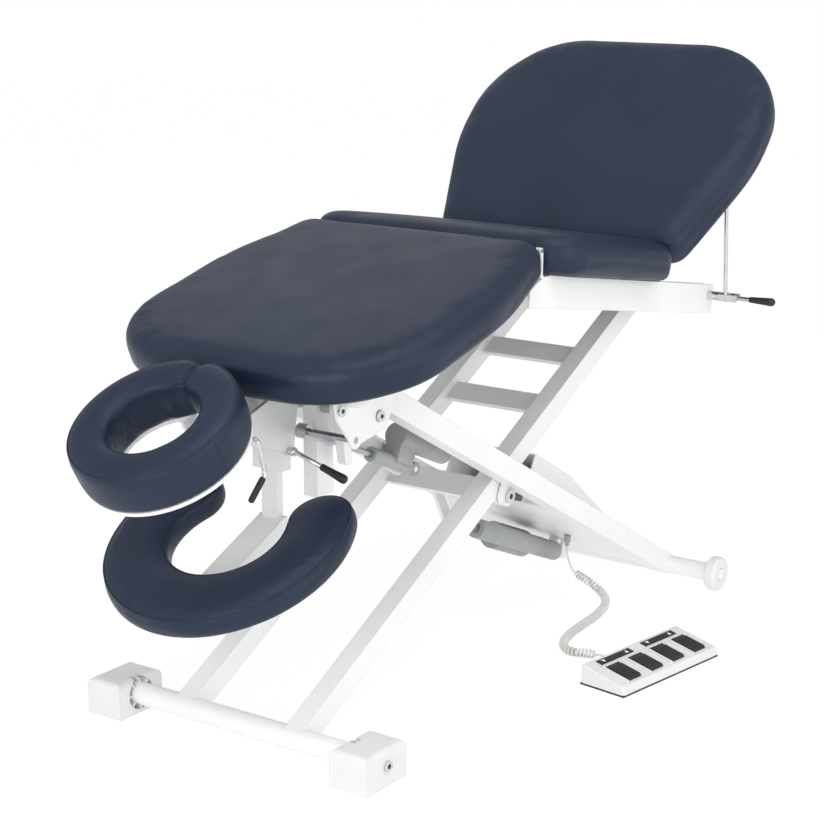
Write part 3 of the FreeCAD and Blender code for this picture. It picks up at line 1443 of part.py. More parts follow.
cord_nodes = ("cord_lead", "curly_cord", "cord_tail")


def build():
    """Every piece by its node name, placed from the front cross tube."""
    nodes = {}
    nodes["foot_block_left"] = foot_block()
    nodes["foot_block_right"] = mirrored(foot_block())
    nodes["foot_axle_bolts"] = [foot_bolt(), mirrored(foot_bolt())]
    nodes["front_cross_tube"] = front_cross_tube()
    nodes["inner_leg_left"] = inner_leg()
    nodes["inner_leg_right"] = mirrored(inner_leg())
    nodes["inner_cross_plates"] = joined(inner_cross_plates())
    nodes["scissor_pins"] = [scissor_pin(), mirrored(scissor_pin())]
    nodes["roller_shaft"] = roller_shaft()
    nodes["deck_rollers"] = [roller(), mirrored(roller())]
    nodes["rear_cross_tube"] = joined([rear_cross_tube(), wheel_bolt(), mirrored(wheel_bolt())])
    nodes["outer_leg_left"] = outer_leg()
    nodes["outer_leg_right"] = mirrored(outer_leg())
    nodes["rear_gusset"] = rear_gusset()
    nodes["control_box"] = control_box()
    nodes["cord_gland"] = cord_gland()
    nodes["wheel_left"] = wheel()
    nodes["wheel_right"] = mirrored(wheel())
    nodes["lift_motor_unit"], nodes["lift_rod"] = lift_actuator()
    nodes["head_cross_shaft"] = head_cross_shaft()
    nodes["tilt_bracket"] = tilt_bracket()
    nodes["tilt_motor_unit"], nodes["tilt_rod"] = tilt_actuator()
    nodes["front_frame"] = front_frame()
    nodes["front_board"] = front_placed(panel(front_outline, front_radii, board_inset, -pad_thickness / 2,
                                              board_thickness))
    front = cushion(front_outline, front_radii, pad_crown, front_hinge_half_width)
    for side in (-1, 1):
        front = front.cut(front_ear(side, plate_gap))
    nodes["front_pad"] = front_placed(front)
    nodes["side_plate_left"] = side_plate()
    nodes["side_plate_right"] = mirrored(side_plate())
    nodes["tilt_tip_rod"] = tilt_tip_rod()
    nodes["plate_bolts"] = plate_bolts()
    nodes["head_bracket"] = head_bracket()
    nodes["rail_left"] = rear_placed(rail())
    nodes["rail_right"] = mirrored(rear_placed(rail()))
    nodes["deck_cross_tubes"] = deck_cross_tubes()
    nodes["hinge_pins"] = hinge_pins()
    nodes["middle_board"] = rear_placed(panel(middle_outline, middle_radii, board_inset, -pad_thickness / 2,
                                              board_thickness))
    nodes["middle_pad"] = rear_placed(cushion(middle_outline, middle_radii, pad_crown,
                                              middle_length / 2))
    board = panel(back_outline, back_radii, board_inset, -pad_thickness / 2, board_thickness)
    pad = cushion(back_outline, back_radii, pad_crown, back_length / 2)
    for notch in strap_notches():
        board = board.cut(notch)
        pad = pad.cut(notch)
    nodes["back_board"] = back_placed(board)
    nodes["back_hinge_straps"] = [back_placed(piece) for piece in back_frame() + [back_lug()]]
    nodes["back_pad"] = back_placed(pad)
    nodes["prop_rod"] = prop_rod()[0]
    nodes["prop_clamp"] = prop_clamp()[0]
    nodes["prop_lever"], nodes["prop_grip"] = prop_lever()
    nodes["cradle_plate"] = cradle_plate()
    nodes["face_pad"] = face_pad()
    nodes["cradle_lever"] = cradle_lever()
    nodes["armrest_post"] = armrest_post()
    nodes["armrest_tray"] = armrest_tray()
    nodes["armrest_pad"] = armrest_pad()
    nodes["armrest_lever"] = armrest_lever()
    nodes["foot_control_housing"] = foot_control_housing()
    for i in range(pedal_count):
        nodes["pedal_%d" % (i + 1)] = pedal(i)
    nodes["cord_lead"] = cord_tube(lead_points)
    nodes["curly_cord"] = curly_cord()
    nodes["cord_tail"] = cord_tube(tail_points)
    return nodes


def centred(nodes):
    """Stands the part on the floor with the middle of its box, taken without the cord, over the origin."""
    whole = FreeCAD.BoundBox()
    for name, piece in nodes.items():
        if name in cord_nodes:
            continue
        for solid in piece if isinstance(piece, list) else [piece]:
            whole.add(solid.optimalBoundingBox(False))
    offset = V(-(whole.XMin + whole.XMax) / 2, -(whole.YMin + whole.YMax) / 2, 0)
    placed = {}
    for name, piece in nodes.items():
        shape = Part.makeCompound(piece) if isinstance(piece, list) else piece.copy()
        shape.translate(offset)
        placed[name] = shape
    return placed, offset


def main():
    os.makedirs("parts", exist_ok=True)
    placed, offset = centred(build())
    for name, shape in placed.items():
        shape.exportStep("parts/%s.step" % name)
    print(len(placed), "nodes, centred by", round(offset.x, 3), round(offset.y, 3))
    return placed, offset


if __name__ == "__main__":
    main()
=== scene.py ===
import math

import bmesh
import bpy
from mathutils import Matrix, Vector, noise
from mathutils.bvhtree import BVHTree


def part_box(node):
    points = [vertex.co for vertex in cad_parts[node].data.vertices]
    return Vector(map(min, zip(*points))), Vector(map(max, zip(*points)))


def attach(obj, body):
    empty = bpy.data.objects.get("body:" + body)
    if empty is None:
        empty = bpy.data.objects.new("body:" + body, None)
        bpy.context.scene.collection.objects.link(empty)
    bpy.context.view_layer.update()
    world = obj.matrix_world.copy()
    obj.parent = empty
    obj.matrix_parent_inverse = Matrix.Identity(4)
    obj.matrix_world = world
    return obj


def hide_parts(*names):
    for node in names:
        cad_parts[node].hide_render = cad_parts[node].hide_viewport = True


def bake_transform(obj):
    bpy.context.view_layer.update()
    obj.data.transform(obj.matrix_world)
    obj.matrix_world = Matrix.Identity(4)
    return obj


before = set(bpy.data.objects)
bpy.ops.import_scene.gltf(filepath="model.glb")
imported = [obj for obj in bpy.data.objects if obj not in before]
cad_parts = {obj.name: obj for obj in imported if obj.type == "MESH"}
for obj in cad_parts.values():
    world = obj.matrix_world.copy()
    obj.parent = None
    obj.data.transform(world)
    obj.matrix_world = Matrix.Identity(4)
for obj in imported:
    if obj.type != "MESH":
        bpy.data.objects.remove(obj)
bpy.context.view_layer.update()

# The studio: a pale floor that runs out of sight, a white surround that is dimmer on the far side, and large soft
# lamps. The camera stands where the photograph was taken, a little above the table and beyond its head corner.
mm = 0.001
tube_low, tube_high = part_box("front_cross_tube")
home = Vector(((tube_low[0] + tube_high[0]) / 2, (tube_low[1] + tube_high[1]) / 2, 0.0))
scene = bpy.context.scene
scene.view_settings.view_transform = "Standard"


def spot(x, y, z):
    """A place given in millimetres from the middle of the front cross tube, on the floor."""
    return Vector((x, y, z)) * mm + home


camera_place = (-2866.3, -2484.7, 1625.5)
camera_turn = -54.376
camera_dip = 13.834
camera_data = bpy.data.cameras.new("camera")
camera_data.lens = 85.92
camera_data.sensor_width = 36.0
camera_data.clip_end = 100.0
camera = bpy.data.objects.new("camera", camera_data)
camera.location = spot(*camera_place)
camera.rotation_euler = (math.radians(90.0 - camera_dip), 0.0, math.radians(camera_turn))
scene.collection.objects.link(camera)
scene.camera = camera

pure_white = (1.0, 1.0, 1.0, 1.0)
sky_dim_way = (0.80, 0.58, 0.12)
sky_fade_range = {"From Min": -0.1, "From Max": 0.75, "To Min": 0.86, "To Max": 0.42}
world = bpy.data.worlds.new("surround")
scene.world = world
world.use_nodes = True
sky = world.node_tree
sky.nodes.clear()
sky_out = sky.nodes.new("ShaderNodeOutputWorld")
sky_mix = sky.nodes.new("ShaderNodeMixShader")
sky_light = sky.nodes.new("ShaderNodeBackground")
sky_seen = sky.nodes.new("ShaderNodeBackground")
sky_ray = sky.nodes.new("ShaderNodeLightPath")
sky_either = sky.nodes.new("ShaderNodeMath")
sky_either.operation = "MAXIMUM"
sky_way = sky.nodes.new("ShaderNodeTexCoord")
sky_far = sky.nodes.new("ShaderNodeVectorMath")
sky_far.operation = "DOT_PRODUCT"
sky_far.inputs[1].default_value = sky_dim_way
sky_fade = sky.nodes.new("ShaderNodeMapRange")
for socket, value in sky_fade_range.items():
    sky_fade.inputs[socket].default_value = value
sky_light.inputs["Color"].default_value = pure_white
sky_seen.inputs["Color"].default_value = pure_white
sky_seen.inputs["Strength"].default_value = 1.0
sky.links.new(sky_way.outputs["Generated"], sky_far.inputs[0])
sky.links.new(sky_far.outputs["Value"], sky_fade.inputs["Value"])
sky.links.new(sky_fade.outputs[0], sky_light.inputs["Strength"])
sky.links.new(sky_ray.outputs["Is Camera Ray"], sky_either.inputs[0])
sky.links.new(sky_ray.outputs["Is Transmission Ray"], sky_either.inputs[1])
sky.links.new(sky_either.outputs[0], sky_mix.inputs[0])
sky.links.new(sky_light.outputs[0], sky_mix.inputs[1])
sky.links.new(sky_seen.outputs[0], sky_mix.inputs[2])
sky.links.new(sky_mix.outputs[0], sky_out.inputs[0])


def lamp(name, place, target, size, power):
    """A rectangular soft lamp, placed and aimed in millimetres."""
    data = bpy.data.lights.new(name, "AREA")
    data.shape = "RECTANGLE"
    data.size = size[0]
    data.size_y = size[1]
    data.energy = power
    light = bpy.data.objects.new(name, data)
    light.location = spot(*place)
    light.rotation_euler = (spot(*target) - light.location).to_track_quat("-Z", "Y").to_euler()
    scene.collection.objects.link(light)


table_middle = (700, 0, 600)
top_middle = (300, 0, 850)
lamp("overhead_softbox", place=(100, -900, 3600), target=table_middle, size=(3.2, 2.4), power=31.0)
lamp("right_window", place=(100, -3900, 1500), target=table_middle, size=(3.2, 2.4), power=32.0)
lamp("head_side_fill", place=(-3400, -900, 1200), target=table_middle, size=(2.4, 2.0), power=42.0)
lamp("far_softbox", place=(3000, 2300, 2960), target=top_middle, size=(2.6, 2.4), power=7.0)


def piece_from(name, verts, faces, smooth=True):
    """A mesh piece in the row frame, with its faces turned outwards."""
    mesh = bpy.data.meshes.new(name)
    mesh.from_pydata([tuple(v) for v in verts], [], faces)
    work = bmesh.new()
    work.from_mesh(mesh)
    bmesh.ops.remove_doubles(work, verts=work.verts, dist=1e-6)
    bmesh.ops.recalc_face_normals(work, faces=work.faces)
    work.to_mesh(mesh)
    work.free()
    for polygon in mesh.polygons:
        polygon.use_smooth = smooth
    piece = bpy.data.objects.new(name, mesh)
    scene.collection.objects.link(piece)
    return piece


floor_half = 14.0
floor_level = -0.0004
floor_bounce = 0.6
floor_seen_extra = 0.2
floor_brightness = 1.09
floor = piece_from("studio_floor", [(x * floor_half, y * floor_half, floor_level)
                                    for x, y in ((-1, -1), (1, -1), (1, 1), (-1, 1))], [(0, 1, 2, 3)])
floor_paint = bpy.data.materials.new("pale_floor")
floor_paint.use_nodes = True
floor_tree = floor_paint.node_tree
floor_tree.nodes.clear()
floor_out = floor_tree.nodes.new("ShaderNodeOutputMaterial")
floor_mix = floor_tree.nodes.new("ShaderNodeMixShader")
floor_matt = floor_tree.nodes.new("ShaderNodeBsdfDiffuse")
floor_glow = floor_tree.nodes.new("ShaderNodeEmission")
floor_ray = floor_tree.nodes.new("ShaderNodeLightPath")
floor_share = floor_tree.nodes.new("ShaderNodeMath")
floor_share.operation = "MULTIPLY_ADD"
floor_share.inputs[1].default_value = floor_seen_extra
floor_share.inputs[2].default_value = floor_bounce
floor_matt.inputs["Color"].default_value = (0.9, 0.9, 0.9, 1.0)
floor_glow.inputs["Color"].default_value = pure_white
floor_glow.inputs["Strength"].default_value = floor_brightness
floor_tree.links.new(floor_ray.outputs["Is Camera Ray"], floor_share.inputs[0])
floor_tree.links.new(floor_share.outputs[0], floor_mix.inputs[0])
floor_tree.links.new(floor_matt.outputs[0], floor_mix.inputs[1])
floor_tree.links.new(floor_glow.outputs[0], floor_mix.inputs[2])
floor_tree.links.new(floor_mix.outputs[0], floor_out.inputs[0])
floor.data.materials.append(floor_paint)

# The front cross tube and its two feet: a round steel tube, powder coated white, held in moulded white plastic blocks
# with ribbed sockets. Bright domed bolts fix the blocks to the tube from outside; the dark hexagons in their heads are
# painted shade for the socket holes.


def effect_group(name, inputs, outputs):
    """An empty shader group with named sockets, and its inner input and output nodes."""
    group = bpy.data.node_groups.new(name, "ShaderNodeTree")
    for socket, kind in inputs:
        group.interface.new_socket(name=socket, in_out="INPUT", socket_type=kind)
    for socket, kind in outputs:
        group.interface.new_socket(name=socket, in_out="OUTPUT", socket_type=kind)
    return group, group.nodes.new("NodeGroupInput"), group.nodes.new("NodeGroupOutput")


number = "NodeSocketFloat"
mottle, mottle_in, mottle_out = effect_group("handled_patches", [("Scale", number), ("Low", number), ("High", number)],
                                             [("Value", number)])
mottle_place = mottle.nodes.new("ShaderNodeTexCoord")
mottle_noise = mottle.nodes.new("ShaderNodeTexNoise")
mottle_noise.inputs["Detail"].default_value = 4.0
mottle_range = mottle.nodes.new("ShaderNodeMapRange")
mottle_range.inputs["From Min"].default_value = 0.32
mottle_range.inputs["From Max"].default_value = 0.68
mottle.links.new(mottle_place.outputs["Object"], mottle_noise.inputs["Vector"])
mottle.links.new(mottle_in.outputs["Scale"], mottle_noise.inputs["Scale"])
mottle.links.new(mottle_noise.outputs[0], mottle_range.inputs["Value"])
mottle.links.new(mottle_in.outputs["Low"], mottle_range.inputs["To Min"])
mottle.links.new(mottle_in.outputs["High"], mottle_range.inputs["To Max"])
mottle.links.new(mottle_range.outputs[0], mottle_out.inputs["Value"])

pebble, pebble_in, pebble_out = effect_group("pebbled_grain", [("Scale", number), ("Fine", number)],
                                             [("Height", number)])
pebble_place = pebble.nodes.new("ShaderNodeTexCoord")
pebble_cells = pebble.nodes.new("ShaderNodeTexVoronoi")
pebble_cells.feature = "SMOOTH_F1"
pebble_cells.inputs["Smoothness"].default_value = 0.35
pebble_dust = pebble.nodes.new("ShaderNodeTexNoise")
pebble_finer = pebble.nodes.new("ShaderNodeMath")
pebble_finer.operation = "MULTIPLY"
pebble_finer.inputs[1].default_value = 2.7
pebble_share = pebble.nodes.new("ShaderNodeMath")
pebble_share.operation = "MULTIPLY_ADD"
pebble.links.new(pebble_place.outputs["Object"], pebble_cells.inputs["Vector"])
pebble.links.new(pebble_place.outputs["Object"], pebble_dust.inputs["Vector"])
pebble.links.new(pebble_in.outputs["Scale"], pebble_cells.inputs["Scale"])
pebble.links.new(pebble_in.outputs["Scale"], pebble_finer.inputs[0])
pebble.links.new(pebble_finer.outputs[0], pebble_dust.inputs["Scale"])
pebble.links.new(pebble_dust.outputs[0], pebble_share.inputs[0])
pebble.links.new(pebble_in.outputs["Fine"], pebble_share.inputs[1])
pebble.links.new(pebble_cells.outputs["Distance"], pebble_share.inputs[2])
pebble.links.new(pebble_share.outputs[0], pebble_out.inputs["Height"])

eased, eased_in, eased_out = effect_group("eased_edges", [("Radius", number)], [("Normal", "NodeSocketVector")])
eased_bevel = eased.nodes.new("ShaderNodeBevel")
eased_bevel.samples = 4
eased.links.new(eased_in.outputs["Radius"], eased_bevel.inputs["Radius"])
eased.links.new(eased_bevel.outputs["Normal"], eased_out.inputs["Normal"])

gloss_patch_ratio = 3.1
lacquer_roughness = 0.25


def placed_group(tree, group, **values):
    """A shared effect placed in a material with its own values."""
    node = tree.nodes.new("ShaderNodeGroup")
    node.node_tree = group
    for socket, value in values.items():
        node.inputs[socket].default_value = value
    return node


def surface(name, dark, light, rough, patch, grain, fine, depth, edge=0.0, metallic=0.0, coat=0.0):
    """A finish whose colour and gloss wander a little, with a grain of the given depth and eased edges."""
    material = bpy.data.materials.new(name)
    material.use_nodes = True
    tree = material.node_tree
    shader = tree.nodes["Principled BSDF"]
    shader.inputs["Metallic"].default_value = metallic
    shader.inputs["Coat Weight"].default_value = coat
    shader.inputs["Coat Roughness"].default_value = lacquer_roughness
    shade = placed_group(tree, mottle, Scale=patch, Low=0.0, High=1.0)
    mix = tree.nodes.new("ShaderNodeMix")
    mix.data_type = "RGBA"
    mix.inputs[6].default_value = (*dark, 1.0)
    mix.inputs[7].default_value = (*light, 1.0)
    tree.links.new(shade.outputs["Value"], mix.inputs[0])
    tree.links.new(mix.outputs[2], shader.inputs["Base Color"])
    gloss = placed_group(tree, mottle, Scale=patch * gloss_patch_ratio, Low=rough[0], High=rough[1])
    tree.links.new(gloss.outputs["Value"], shader.inputs["Roughness"])
    relief = placed_group(tree, pebble, Scale=grain, Fine=fine)
    bump = tree.nodes.new("ShaderNodeBump")
    bump.inputs["Strength"].default_value = 1.0
    bump.inputs["Distance"].default_value = depth
    tree.links.new(relief.outputs["Height"], bump.inputs["Height"])
    if edge:
        ease = placed_group(tree, eased, Radius=edge)
        tree.links.new(ease.outputs["Normal"], bump.inputs["Normal"])
    tree.links.new(bump.outputs["Normal"], shader.inputs["Normal"])
    return material


white_plastic = surface("white_moulded_plastic", dark=(0.74, 0.745, 0.74), light=(0.79, 0.795, 0.79),
                        rough=(0.36, 0.48), patch=14.0, grain=1400.0, fine=0.6, depth=0.00005, edge=0.003)
black_plastic = surface("black_moulded_plastic", dark=(0.012, 0.012, 0.013), light=(0.022, 0.022, 0.024),
                        rough=(0.4, 0.55), patch=30.0, grain=1300.0, fine=0.7, depth=0.00008, edge=0.001)
powder_white = surface("white_powder_coat", dark=(0.84, 0.845, 0.845), light=(0.88, 0.885, 0.88), rough=(0.3, 0.42),
                       patch=6.0, grain=1000.0, fine=0.8, depth=0.00006, edge=0.0025, coat=0.1)
bright_steel = surface("bright_plated_steel", dark=(0.62, 0.63, 0.65), light=(0.72, 0.73, 0.75), rough=(0.12, 0.22),
                       patch=30.0, grain=1500.0, fine=0.8, depth=0.00001, edge=0.0008, metallic=1.0)


def dress(material, *nodes):
    """Gives a finish to CAD nodes that stay in view."""
    for node in nodes:
        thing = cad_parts[node]
        if not thing.material_slots:
            thing.data.materials.append(material)
        for holder in thing.material_slots:
            holder.material = material


def ring_walls(levels, count):
    """The faces between neighbouring rings of points, with the same count in each ring."""
    walls = []
    for i in range(levels - 1):
        for k in range(count):
            a = i * count + k
            b = i * count + (k + 1) % count
            walls.append((a, b, b + count, a + count))
    return walls


def lathe(name, start, end, profile, sides=28):
    """A turned piece along a line: the profile lists (share of the length, radius in millimetres)."""
    axis = (end - start)
    along = axis.normalized()
    side = along.orthogonal().normalized()
    other = along.cross(side)
    verts = []
    for share, radius in profile:
        for k in range(sides):
            turn = 2 * math.pi * k / sides
            verts.append(start + axis * share + (side * math.cos(turn) + other * math.sin(turn)) * radius * mm)
    ends = [tuple(range(sides)), tuple(len(verts) - sides + k for k in range(sides))]
    return piece_from(name, verts, ends + ring_walls(len(profile), sides))


def joined_piece(name, pieces):
    """Merges mesh pieces into one new piece."""
    work = bmesh.new()
    for part in pieces:
        work.from_mesh(part.data)
    mesh = bpy.data.meshes.new(name)
    work.to_mesh(mesh)
    work.free()
    for part in pieces:
        bpy.data.objects.remove(part)
    whole = bpy.data.objects.new(name, mesh)
    scene.collection.objects.link(whole)
    return whole


def finished(piece, material, body, slot, *nodes):
    """Gives a made piece its finish and its body, and hides the CAD nodes that it stands for."""
    piece.data.materials.clear()
    piece.data.materials.append(material)
    if nodes:
        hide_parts(*nodes)
    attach(piece, body)
    return piece


shade_disc_depth = 1.0
shade_disc_proud = 0.3
hexagon = 6


def hexagon_shade_discs(name, bolts, places, radius, body):
    """Black hexagons of painted shade where the socket holes in the outer faces of bolt heads are shaded, at (x, z)
    places on both sides of the table.
    """
    low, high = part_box(bolts)
    face = (high[1] - low[1]) / 2 / mm
    # The black discs are painted shade: they stand a little proud of each bolt face in place of the shaded socket hole.
    shade_discs = [lathe("socket", spot(x, side * (face - shade_disc_depth), z), spot(x, side * (face + shade_disc_proud), z),
                     [(0.0, radius), (1.0, radius)], hexagon) for x, z in places for side in (-1, 1)]
    finished(joined_piece(name, shade_discs), black_plastic, body, "plastic_black")


foot_axle_height = 43
dress(white_plastic, "foot_block_left", "foot_block_right")
dress(powder_white, "front_cross_tube")
dress(bright_steel, "foot_axle_bolts")
hexagon_shade_discs("foot_bolt_shade_discs", "foot_axle_bolts", [(0, foot_axle_height)], 5.6, "base")

# The inner scissor legs: square steel tube with welded cross plates, powder coated white. A ground shaft through
# their upper ends carries two grey plastic rollers that run in the rails of the top.
ground_steel = surface("ground_steel", dark=(0.42, 0.43, 0.45), light=(0.52, 0.53, 0.55), rough=(0.26, 0.38),
                       patch=40.0, grain=1800.0, fine=0.8, depth=0.00002, edge=0.0008, metallic=1.0)
grey_plastic = surface("grey_motor_plastic", dark=(0.30, 0.31, 0.32), light=(0.37, 0.38, 0.39), rough=(0.42, 0.55),
                       patch=12.0, grain=1100.0, fine=0.6, depth=0.00006, edge=0.003)
dress(powder_white, "inner_leg_left", "inner_leg_right", "inner_cross_plates")
dress(ground_steel, "roller_shaft")
dress(grey_plastic, "deck_rollers")

# The outer scissor legs: square steel tube welded to a round rear tube and to the folded tray of the lift motor, all
# powder coated white. Moulded wheels sit on the rear tube, and bright pins join the scissor; the dark hexagons in their
# heads are painted shade for the socket holes.
pin_low, pin_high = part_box("scissor_pins")
pin_place = ((pin_low[0] + pin_high[0]) / 2 - home.x) / mm, (pin_low[2] + pin_high[2]) / 2 / mm
dress(powder_white, "outer_leg_left", "outer_leg_right", "rear_cross_tube", "rear_gusset")
dress(white_plastic, "wheel_left", "wheel_right")
dress(bright_steel, "scissor_pins")
hexagon_shade_discs("scissor_pin_shade_discs", "scissor_pins", [pin_place], 7.0, "inner_frame")

# The lift drive: a grey plastic motor with a ground steel rod, pinned between the two pairs of legs. Its control box
# and the gland of the cord, both grey mouldings, are screwed to the motor tray.
dress(grey_plastic, "lift_motor_unit", "control_box", "cord_gland")
dress(ground_steel, "lift_rod")

# The head shaft and the tilt drive: a ground shaft across the heads of the outer legs, with a white steel bracket for
# the head pieces and an arm for the grey tilt motor, whose rod pushes a pin in the right side plate.
dress(ground_steel, "head_cross_shaft", "tilt_rod", "tilt_tip_rod")
dress(powder_white, "tilt_bracket", "head_bracket")
dress(grey_plastic, "tilt_motor_unit")

# The front section's frame: welded tube with a steel side plate bolted on at each side, powder coated white.
# The bolts are bright domed heads; the dark hexagons in them are painted shade for their socket holes.
plate_bolt_places = [(178, 687), (52, 722)]
dress(powder_white, "front_frame", "side_plate_left", "side_plate_right")
dress(bright_steel, "plate_bolts")
hexagon_shade_discs("plate_bolt_shade_discs", "plate_bolts", plate_bolt_places, 5.0, "front_deck")

# The rear section: two folded rails with cross tubes, powder coated white, bright hinge pins, straps for the back and
# a plated prop rod in its clamp. The boards under the three cushions are painted dark.
under_board = surface("painted_underside_board", dark=(0.05, 0.052, 0.058), light=(0.075, 0.077, 0.083),
                      rough=(0.55, 0.7), patch=10.0, grain=700.0, fine=0.9, depth=0.0001, edge=0.002)
dress(powder_white, "rail_left", "rail_right", "deck_cross_tubes", "back_hinge_straps")
dress(bright_steel, "hinge_pins", "prop_rod", "prop_clamp")
dress(under_board, "front_board", "middle_board", "back_board")

# The three cushions of the top: navy leatherette pulled over foam and stapled under a board. Each is fullest at
# the middle of its edge, rounded over on top, and slightly crowned where the foam pushes the cover up.
navy_cover = surface("navy_leatherette", dark=(0.012, 0.020, 0.043), light=(0.016, 0.026, 0.055), rough=(0.36, 0.44),
                     patch=5.0, grain=620.0, fine=0.6, depth=0.00014)
navy_cover.node_tree.nodes["Principled BSDF"].inputs["Specular IOR Level"].default_value = 0.28
pad_half = 37.0
pad_skirt = 50.6
pad_crown = 6.0
pad_drawn_under = 17.0
pad_point_step = 14.0
pad_wall_shares = (0.0, 0.08, 0.2, 0.4, 0.7)
pad_top_shares = (0.94, 0.86, 0.74, 0.6, 0.45, 0.3, 0.15)
pad_rim_steps = 8
pad_draw_power = 3.0
pad_crown_power = 2.4
pad_peak = (655.0, 962.0)
pad_back_hinge = (1185.0, 872.0)
front_slope = 14.5
rear_slope = math.degrees(math.atan2(pad_back_hinge[1] - pad_peak[1], pad_back_hinge[0] - pad_peak[0]))
back_slope = 45.0
middle_length = math.hypot(pad_back_hinge[0] - pad_peak[0], pad_back_hinge[1] - pad_peak[1])


def laid(x, z, angle):
    """The frame of a piece drawn flat at the origin and turned up about its cross axis."""
    return Matrix.Translation(spot(x, 0, z)) @ Matrix.Rotation(math.radians(-angle), 4, "Y")


def rounded_loop(corners, radii, step):
    """Points along a convex outline with rounded corners, each with its inward direction."""
    loop = []
    count = len(corners)
    lines = [(Vector(corners[(i + 1) % count]) - Vector(corners[i])).normalized() for i in range(count)]
    arcs = []
    for i in range(count):
        before, after = lines[i - 1], lines[i]
        turn = math.acos(max(-1.0, min(1.0, before.dot(after))))
        tangent = radii[i] * math.tan(turn / 2)
        start = Vector(corners[i]) - before * tangent
        centre = start + Vector((-before.y, before.x)) * radii[i]
        arcs.append((start, centre, turn, Vector(corners[i]) + after * tangent))
    for i in range(count):
        start, centre, turn, end = arcs[i]
        pieces = max(3, int(radii[i] * turn / step))
        first = math.atan2(start.y - centre.y, start.x - centre.x)
        for k in range(pieces + 1):
            angle = first + turn * k / pieces
            outward = Vector((math.cos(angle), math.sin(angle)))
            loop.append((centre + outward * radii[i], -outward))
        run = arcs[(i + 1) % count][0] - end
        inward = Vector((-lines[i].y, lines[i].x))
        steps = max(2, int(run.length / step))
        for k in range(1, steps):
            loop.append((end + run * k / steps, inward))
    return loop


def cushion(name, loop, half, skirt, crown):
    """A closed pad over an outline: walls drawn in below round the board, rounded over above, and a crowned top."""
    rings = [(skirt * (share - 1), pad_drawn_under * (1 - share) ** pad_draw_power) for share in pad_wall_shares]
    for k in range(pad_rim_steps + 1):
        turn = math.pi / 2 * k / pad_rim_steps
        rings.append((half * math.sin(turn), half * (1 - math.cos(turn))))
    verts = []
    count = len(loop)
    for height, inset in rings:
        for point, inward in loop:
            spread = point + inward * inset
            verts.append(Vector((spread.x, spread.y, height)))
    top = verts[-count:]
    middle = sum(top, Vector()) / count
    for share in pad_top_shares:
        for point in top:
            lifted = middle.lerp(point, share)
            lifted.z = half + crown * (1 - share ** pad_crown_power)
            verts.append(lifted)
    levels = len(verts) // count
    verts.append(Vector((middle.x, middle.y, half + crown)))
    last = (levels - 1) * count
    top_fan = [(last + k, last + (k + 1) % count, len(verts) - 1) for k in range(count)]
    return piece_from(name, [v * mm for v in verts], [tuple(range(count))] + ring_walls(levels, count) + top_fan)


skin_smoothings = 5


def upholster(piece, voxel, pressure, cap, board_line, frames):
    """Rounds a pad into one even skin and lets the foam press it out, its underside held by the board."""
    shrink = piece.modifiers.new("even_skin", "REMESH")
    shrink.mode = "VOXEL"
    shrink.voxel_size = voxel
    bpy.context.view_layer.update()
    skin = bpy.data.meshes.new_from_object(piece.evaluated_get(bpy.context.evaluated_depsgraph_get()))
    piece.modifiers.clear()
    piece.data = skin
    work = bmesh.new()
    work.from_mesh(skin)
    for _ in range(skin_smoothings):
        bmesh.ops.smooth_vert(work, verts=work.verts, factor=0.5, use_axis_x=True, use_axis_y=True, use_axis_z=True)
    work.to_mesh(skin)
    work.free()
    rest = [v.co.copy() for v in skin.vertices]
    held = piece.vertex_groups.new(name="board_side")
    held.add([i for i, co in enumerate(rest) if co.z < board_line], 1.0, "REPLACE")
    foam = piece.modifiers.new("foam", "CLOTH")
    foam.settings.quality = 4
    foam.settings.use_pressure = True
    foam.settings.uniform_pressure_force = pressure
    foam.settings.vertex_group_mass = held.name
    foam.settings.effector_weights.gravity = 0.0
    foam.collision_settings.use_collision = False
    for number_of_frame in range(1, frames + 1):
        scene.frame_set(number_of_frame)
    pressed = piece.evaluated_get(bpy.context.evaluated_depsgraph_get())
    moved = [v.co.copy() for v in pressed.data.vertices]
    for vertex, start, end in zip(skin.vertices, rest, moved):
        shift = end - start
        if shift.length > cap:
            shift = shift * (cap / shift.length)
        vertex.co = start + shift
    piece.modifiers.clear()
    piece.vertex_groups.clear()
    scene.frame_set(1)
    for polygon in skin.polygons:
        polygon.use_smooth = True


def soft_waves(piece, weight, stretch, reach):
    """Presses shallow folds into a skin along its normals, where the weight says."""
    mesh = piece.data
    normals = [v.normal.copy() for v in mesh.vertices]
    for vertex, normal in zip(mesh.vertices, normals):
        place = Vector((vertex.co.x * stretch[0], vertex.co.y * stretch[1], vertex.co.z * stretch[2]))
        vertex.co = vertex.co + normal * noise.noise(place) * reach * weight(vertex.co)


def finer(piece):
    """Doubles the mesh of a skin smoothly."""
    layer = piece.modifiers.new("finer_skin", "SUBSURF")
    layer.levels = 1
    layer.render_levels = 1


pad_folds_top = 0.034
pad_folds_fade = 0.02


def pad_folds(co):
    """How much a point belongs to the walls of a pad, where the cover is pulled down in folds."""
    return max(0.0, min(1.0, (pad_folds_top - co.z) / pad_folds_fade))


